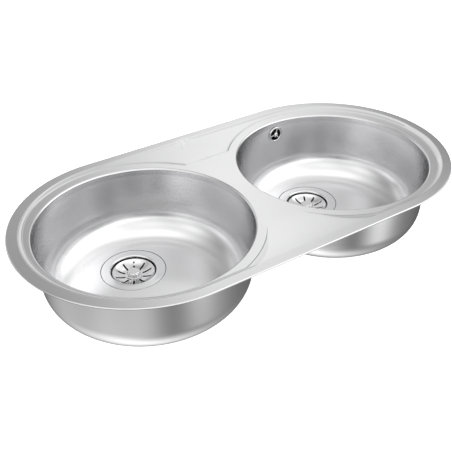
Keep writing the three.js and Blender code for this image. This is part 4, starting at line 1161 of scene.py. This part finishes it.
for tool, operation in (
    (spigot, "UNION"),
    (chamber, "DIFFERENCE"),
    (rod(SPIGOT_BORE, ELBOW_RADIUS / 2, ELBOW_END + 1, downwards, 64), "DIFFERENCE"),
    (rod(2 * SCREW_RADIUS, ELBOW_BACK + 1, ELBOW_AXIS / 2, sides=48), "UNION"),
    (rod(SCREW_RADIUS + GAP, ELBOW_AXIS - GAP, ELBOW_FRONT, sides=48), "DIFFERENCE"),
):
    combine(elbow, tool, operation)
# The elbow is coloured near-black as painted shade: it darkens what shows through the rose's openings,
# where the overflow lies in shade.
painted_shade_plastic = plastic("painted_shade_black_polypropylene", (0.022, 0.022, 0.024), (0.03, 0.03, 0.032))
behind_wall("overflow_moulded_elbow", elbow, painted_shade_plastic, "plastic", "overflow_elbow")

# The hose leaves the elbow straight down, bends, and comes onto the side port from behind. It is
# blown from white plastic, with ribs all along so that it bends, and plain cuffs at its ends.
HOSE_COLUMNS, STEPS_TO_A_RIB = 48, 8
hose_start = overflow_frame @ (Vector((0, SPIGOT_LENGTH - ELBOW_END, ELBOW_AXIS)) * MM)
hose_down = (overflow_frame.to_3x3() @ Vector((0, -1, 0))).normalized()
hose_back = Vector((0, 1, 0))
port_y = BOWL_Y + WASTE_OFFSET + BODY_RADIUS + PORT_REACH
hose_end = Vector((small_x, port_y - SPIGOT_LENGTH, -BOWL_DEPTH - PORT_DROP)) * MM
straight = (SPIGOT_LENGTH + 2 * HOSE_CREST) * MM
bend_start, bend_end = hose_start + hose_down * straight, hose_end + hose_back * straight
pull = 0.5 * (bend_end - bend_start).length
corners = [np.array(p) for p in (
    bend_start, bend_start + hose_down * pull, bend_end + hose_back * pull, bend_end,
)]
share = np.linspace(0, 1, 400)[:, None]
bend = sum(
    times * share**power * (1 - share)**(3 - power) * corner
    for power, (times, corner) in enumerate(zip((1, 3, 3, 1), corners))
)
route = np.vstack([np.array(hose_start), bend, np.array(hose_end)]) / MM
lengths = np.concatenate([[0], np.cumsum(np.linalg.norm(np.diff(route, axis=0), axis=1))])
total = lengths[-1]
rib_count = round((total - 2 * SPIGOT_LENGTH) / RIB_PITCH)
along = np.linspace(SPIGOT_LENGTH, total - SPIGOT_LENGTH, rib_count * STEPS_TO_A_RIB + 1)
wave = np.cos(2 * math.pi * np.arange(len(along)) / STEPS_TO_A_RIB)
ribbed = HOSE_CREST - RIB_HEIGHT * np.clip(0.5 - 0.8 * wave, 0, 1)
hose_bore = SPIGOT_RADIUS + GAP
ends = [(0.4, hose_bore), (0.0, hose_bore + 0.5), (0.0, HOSE_CREST - 0.5), (0.4, HOSE_CREST)]
outside = ends + list(zip(along, ribbed)) + [(total - s, r) for s, r in ends[::-1]]
inside = [(s, hose_bore) for s in along[::-4]]
hose_rows = np.array(outside + inside + outside[:1])


def on_route(s):
    """The hose's middle line, at distances along it."""
    return np.stack([np.interp(s, lengths, route[:, i]) for i in range(3)], axis=1)


def place_hose(column, row):
    s, radius = hose_rows[row].T
    middle = on_route(s)
    run = on_route(s + 0.5) - on_route(s - 0.5)
    tangent = run / np.linalg.norm(run, axis=1)[:, None]
    sideways = np.array([1.0, 0, 0])
    up = np.cross(sideways, tangent)
    angle = (2 * math.pi * column / HOSE_COLUMNS)[:, None]
    return middle + radius[:, None] * (np.cos(angle) * sideways + np.sin(angle) * up)


hose = faced_out(wrapped("overflow_ribbed_hose", HOSE_COLUMNS, len(hose_rows) - 1, place_hose))
finished(hose, white_plastic, "sink", "plastic", "overflow_hose", sharp=60.0)


over_hose = Matrix.Rotation(math.pi / 2, 4, "X")


def hose_clamp(name):
    """A steel band with its screw housing and a slotted screw."""
    half = CLAMP_WIDTH / 2
    outer = CLAMP_BORE + CLAMP_STEEL
    band = turned(name, eased([
        (CLAMP_BORE, -half), (outer, -half), (outer, half), (CLAMP_BORE, half),
    ], 0.3), 96)
    housing = block((CLAMP_BORE + 0.2, -half, -half), (outer + 4.6, half, half), 1.2)
    combine(band, housing, "UNION")
    upright = Matrix.Translation(Vector((outer + 2.6, 0, 0)) * MM) @ over_hose
    combine(band, rod(2.0, -half - 1.0, half + 1.0, upright, 32), "UNION")
    bolt = rod(3.2, half + 0.6, half + 3.0, upright, 6)
    modify(bolt, "BEVEL", width=0.3 * MM, segments=2)
    combine(band, bolt, "UNION")
    slot = block((-4, -0.5, half + 2.0), (4, 0.5, half + 4.0))
    slot.data.transform(upright)
    combine(band, slot, "DIFFERENCE")
    return band


pattern = hose_clamp("clamp_pattern")
upper_place = Matrix.Translation(Vector((0, CLAMP_WIDTH - ELBOW_END, ELBOW_AXIS)) * MM)
lower_place = Matrix.Translation(hose_end + Vector((0, CLAMP_WIDTH, 0)) * MM)
for name, place in (("upper", overflow_frame @ upper_place), ("lower", lower_place)):
    clamp = twin(pattern, name + "_worm_clamp", place @ over_hose)
    finished(clamp, zinc, "sink", "plated_steel", name + "_hose_clamp")
bpy.data.objects.remove(pattern)


# Studio: a pale floor under the sink, with a white surround, and soft light all round. From below
# the floor is clear, so that the underside can be seen.
FLOOR_HEIGHT = cad_box[0].z - 0.5 * MM
deselect()
bpy.ops.mesh.primitive_plane_add(size=12, location=(0, 0, FLOOR_HEIGHT))
floor = bpy.context.object
floor.name = "floor"
pale = Finish(bpy.data.materials.new("pale_floor"))
pale.shader({
    "Base Color": (0.92, 0.92, 0.92, 1), "Roughness": 0.9, "Emission Color": (1, 1, 1, 1),
    "Emission Strength": 0.75,
})
from_below = pale.node("ShaderNodeNewGeometry", output="Backfacing")
clear = pale.node("ShaderNodeBsdfTransparent")
upper = Wire(pale, pale.tree.nodes["Principled BSDF"].outputs[0])
both = pale.node("ShaderNodeMixShader", {}, {0: from_below, 1: upper, 2: clear})
pale.feed(pale.tree.nodes["Material Output"].inputs, {0: both})
floor.data.materials.append(pale.owner)
floor.visible_glossy = False

# Soft panels far round the sink: azimuth, elevation, half width and half height in degrees, and
# brightness. The room between them is dark, as satin steel shows it in its walls, and the camera
# sees a white backdrop.
ROOM = 0.03
PANELS = (
    (-96, 12, 36, 14, 2.1),
    (-50, 42, 30, 30, 1.7),
    (138, -70, 26, 50, 0.8),
    (172, 72, 42, 24, 0.8),
    (-160, 8, 34, 14, 1.9),
    (-126, 82, 30, 18, 1.0),
    (-164, -72, 20, 34, 1.0),
    (106, 20, 20, 14, 1.6),
    (-20, 34, 24, 20, 1.6),
    (0, 28, 16, 16, 1.6),
    (-126, 42, 28, 16, 0.9),
    (32, 56, 14, 16, 1.1),
    (56, 30, 13, 20, 1.3),
    (180, 38, 20, 14, 1.1),
    (-64, -30, 16, 14, 1.2),
    (142, 14, 18, 14, 0.5),
    (-124, -44, 16, 14, 0.5),
)
world = bpy.data.worlds.new("studio")
bpy.context.scene.world = world
studio = Finish(world)
looking = studio.node("ShaderNodeTexCoord", output="Generated")


def facing(direction):
    """How far a ray of light comes from a direction."""
    values = {0: looking, 1: direction}
    return studio.node("ShaderNodeVectorMath", {"operation": "DOT_PRODUCT"}, values, output="Value")


def panel(azimuth, elevation, width, height, brightness):
    """The light of one panel, brightest in its middle and fading out all round."""
    turn, rise = math.radians(azimuth), math.radians(elevation)
    level = Vector((math.cos(turn), math.sin(turn), 0))
    middle = level * math.cos(rise) + Vector((0, 0, math.sin(rise)))
    sideways = Vector((-math.sin(turn), math.cos(turn), 0))
    across = facing(sideways / math.radians(width))
    upwards = facing(middle.cross(sideways) / math.radians(height))
    spread = across * across + upwards * upwards
    fade = studio.node("ShaderNodeMath", {"operation": "EXPONENT"}, {0: spread * -1.0})
    ahead = studio.node("ShaderNodeMath", {"operation": "GREATER_THAN"}, {0: facing(middle), 1: 0.0})
    return fade * ahead * brightness


light = sum((panel(*sizes) for sizes in PANELS), ROOM)
seen = studio.node("ShaderNodeLightPath", output="Is Camera Ray")
studio.feed(studio.tree.nodes["Background"].inputs, {"Color": seen + (1 - seen) * light})
bpy.context.scene.view_settings.view_transform = "Standard"
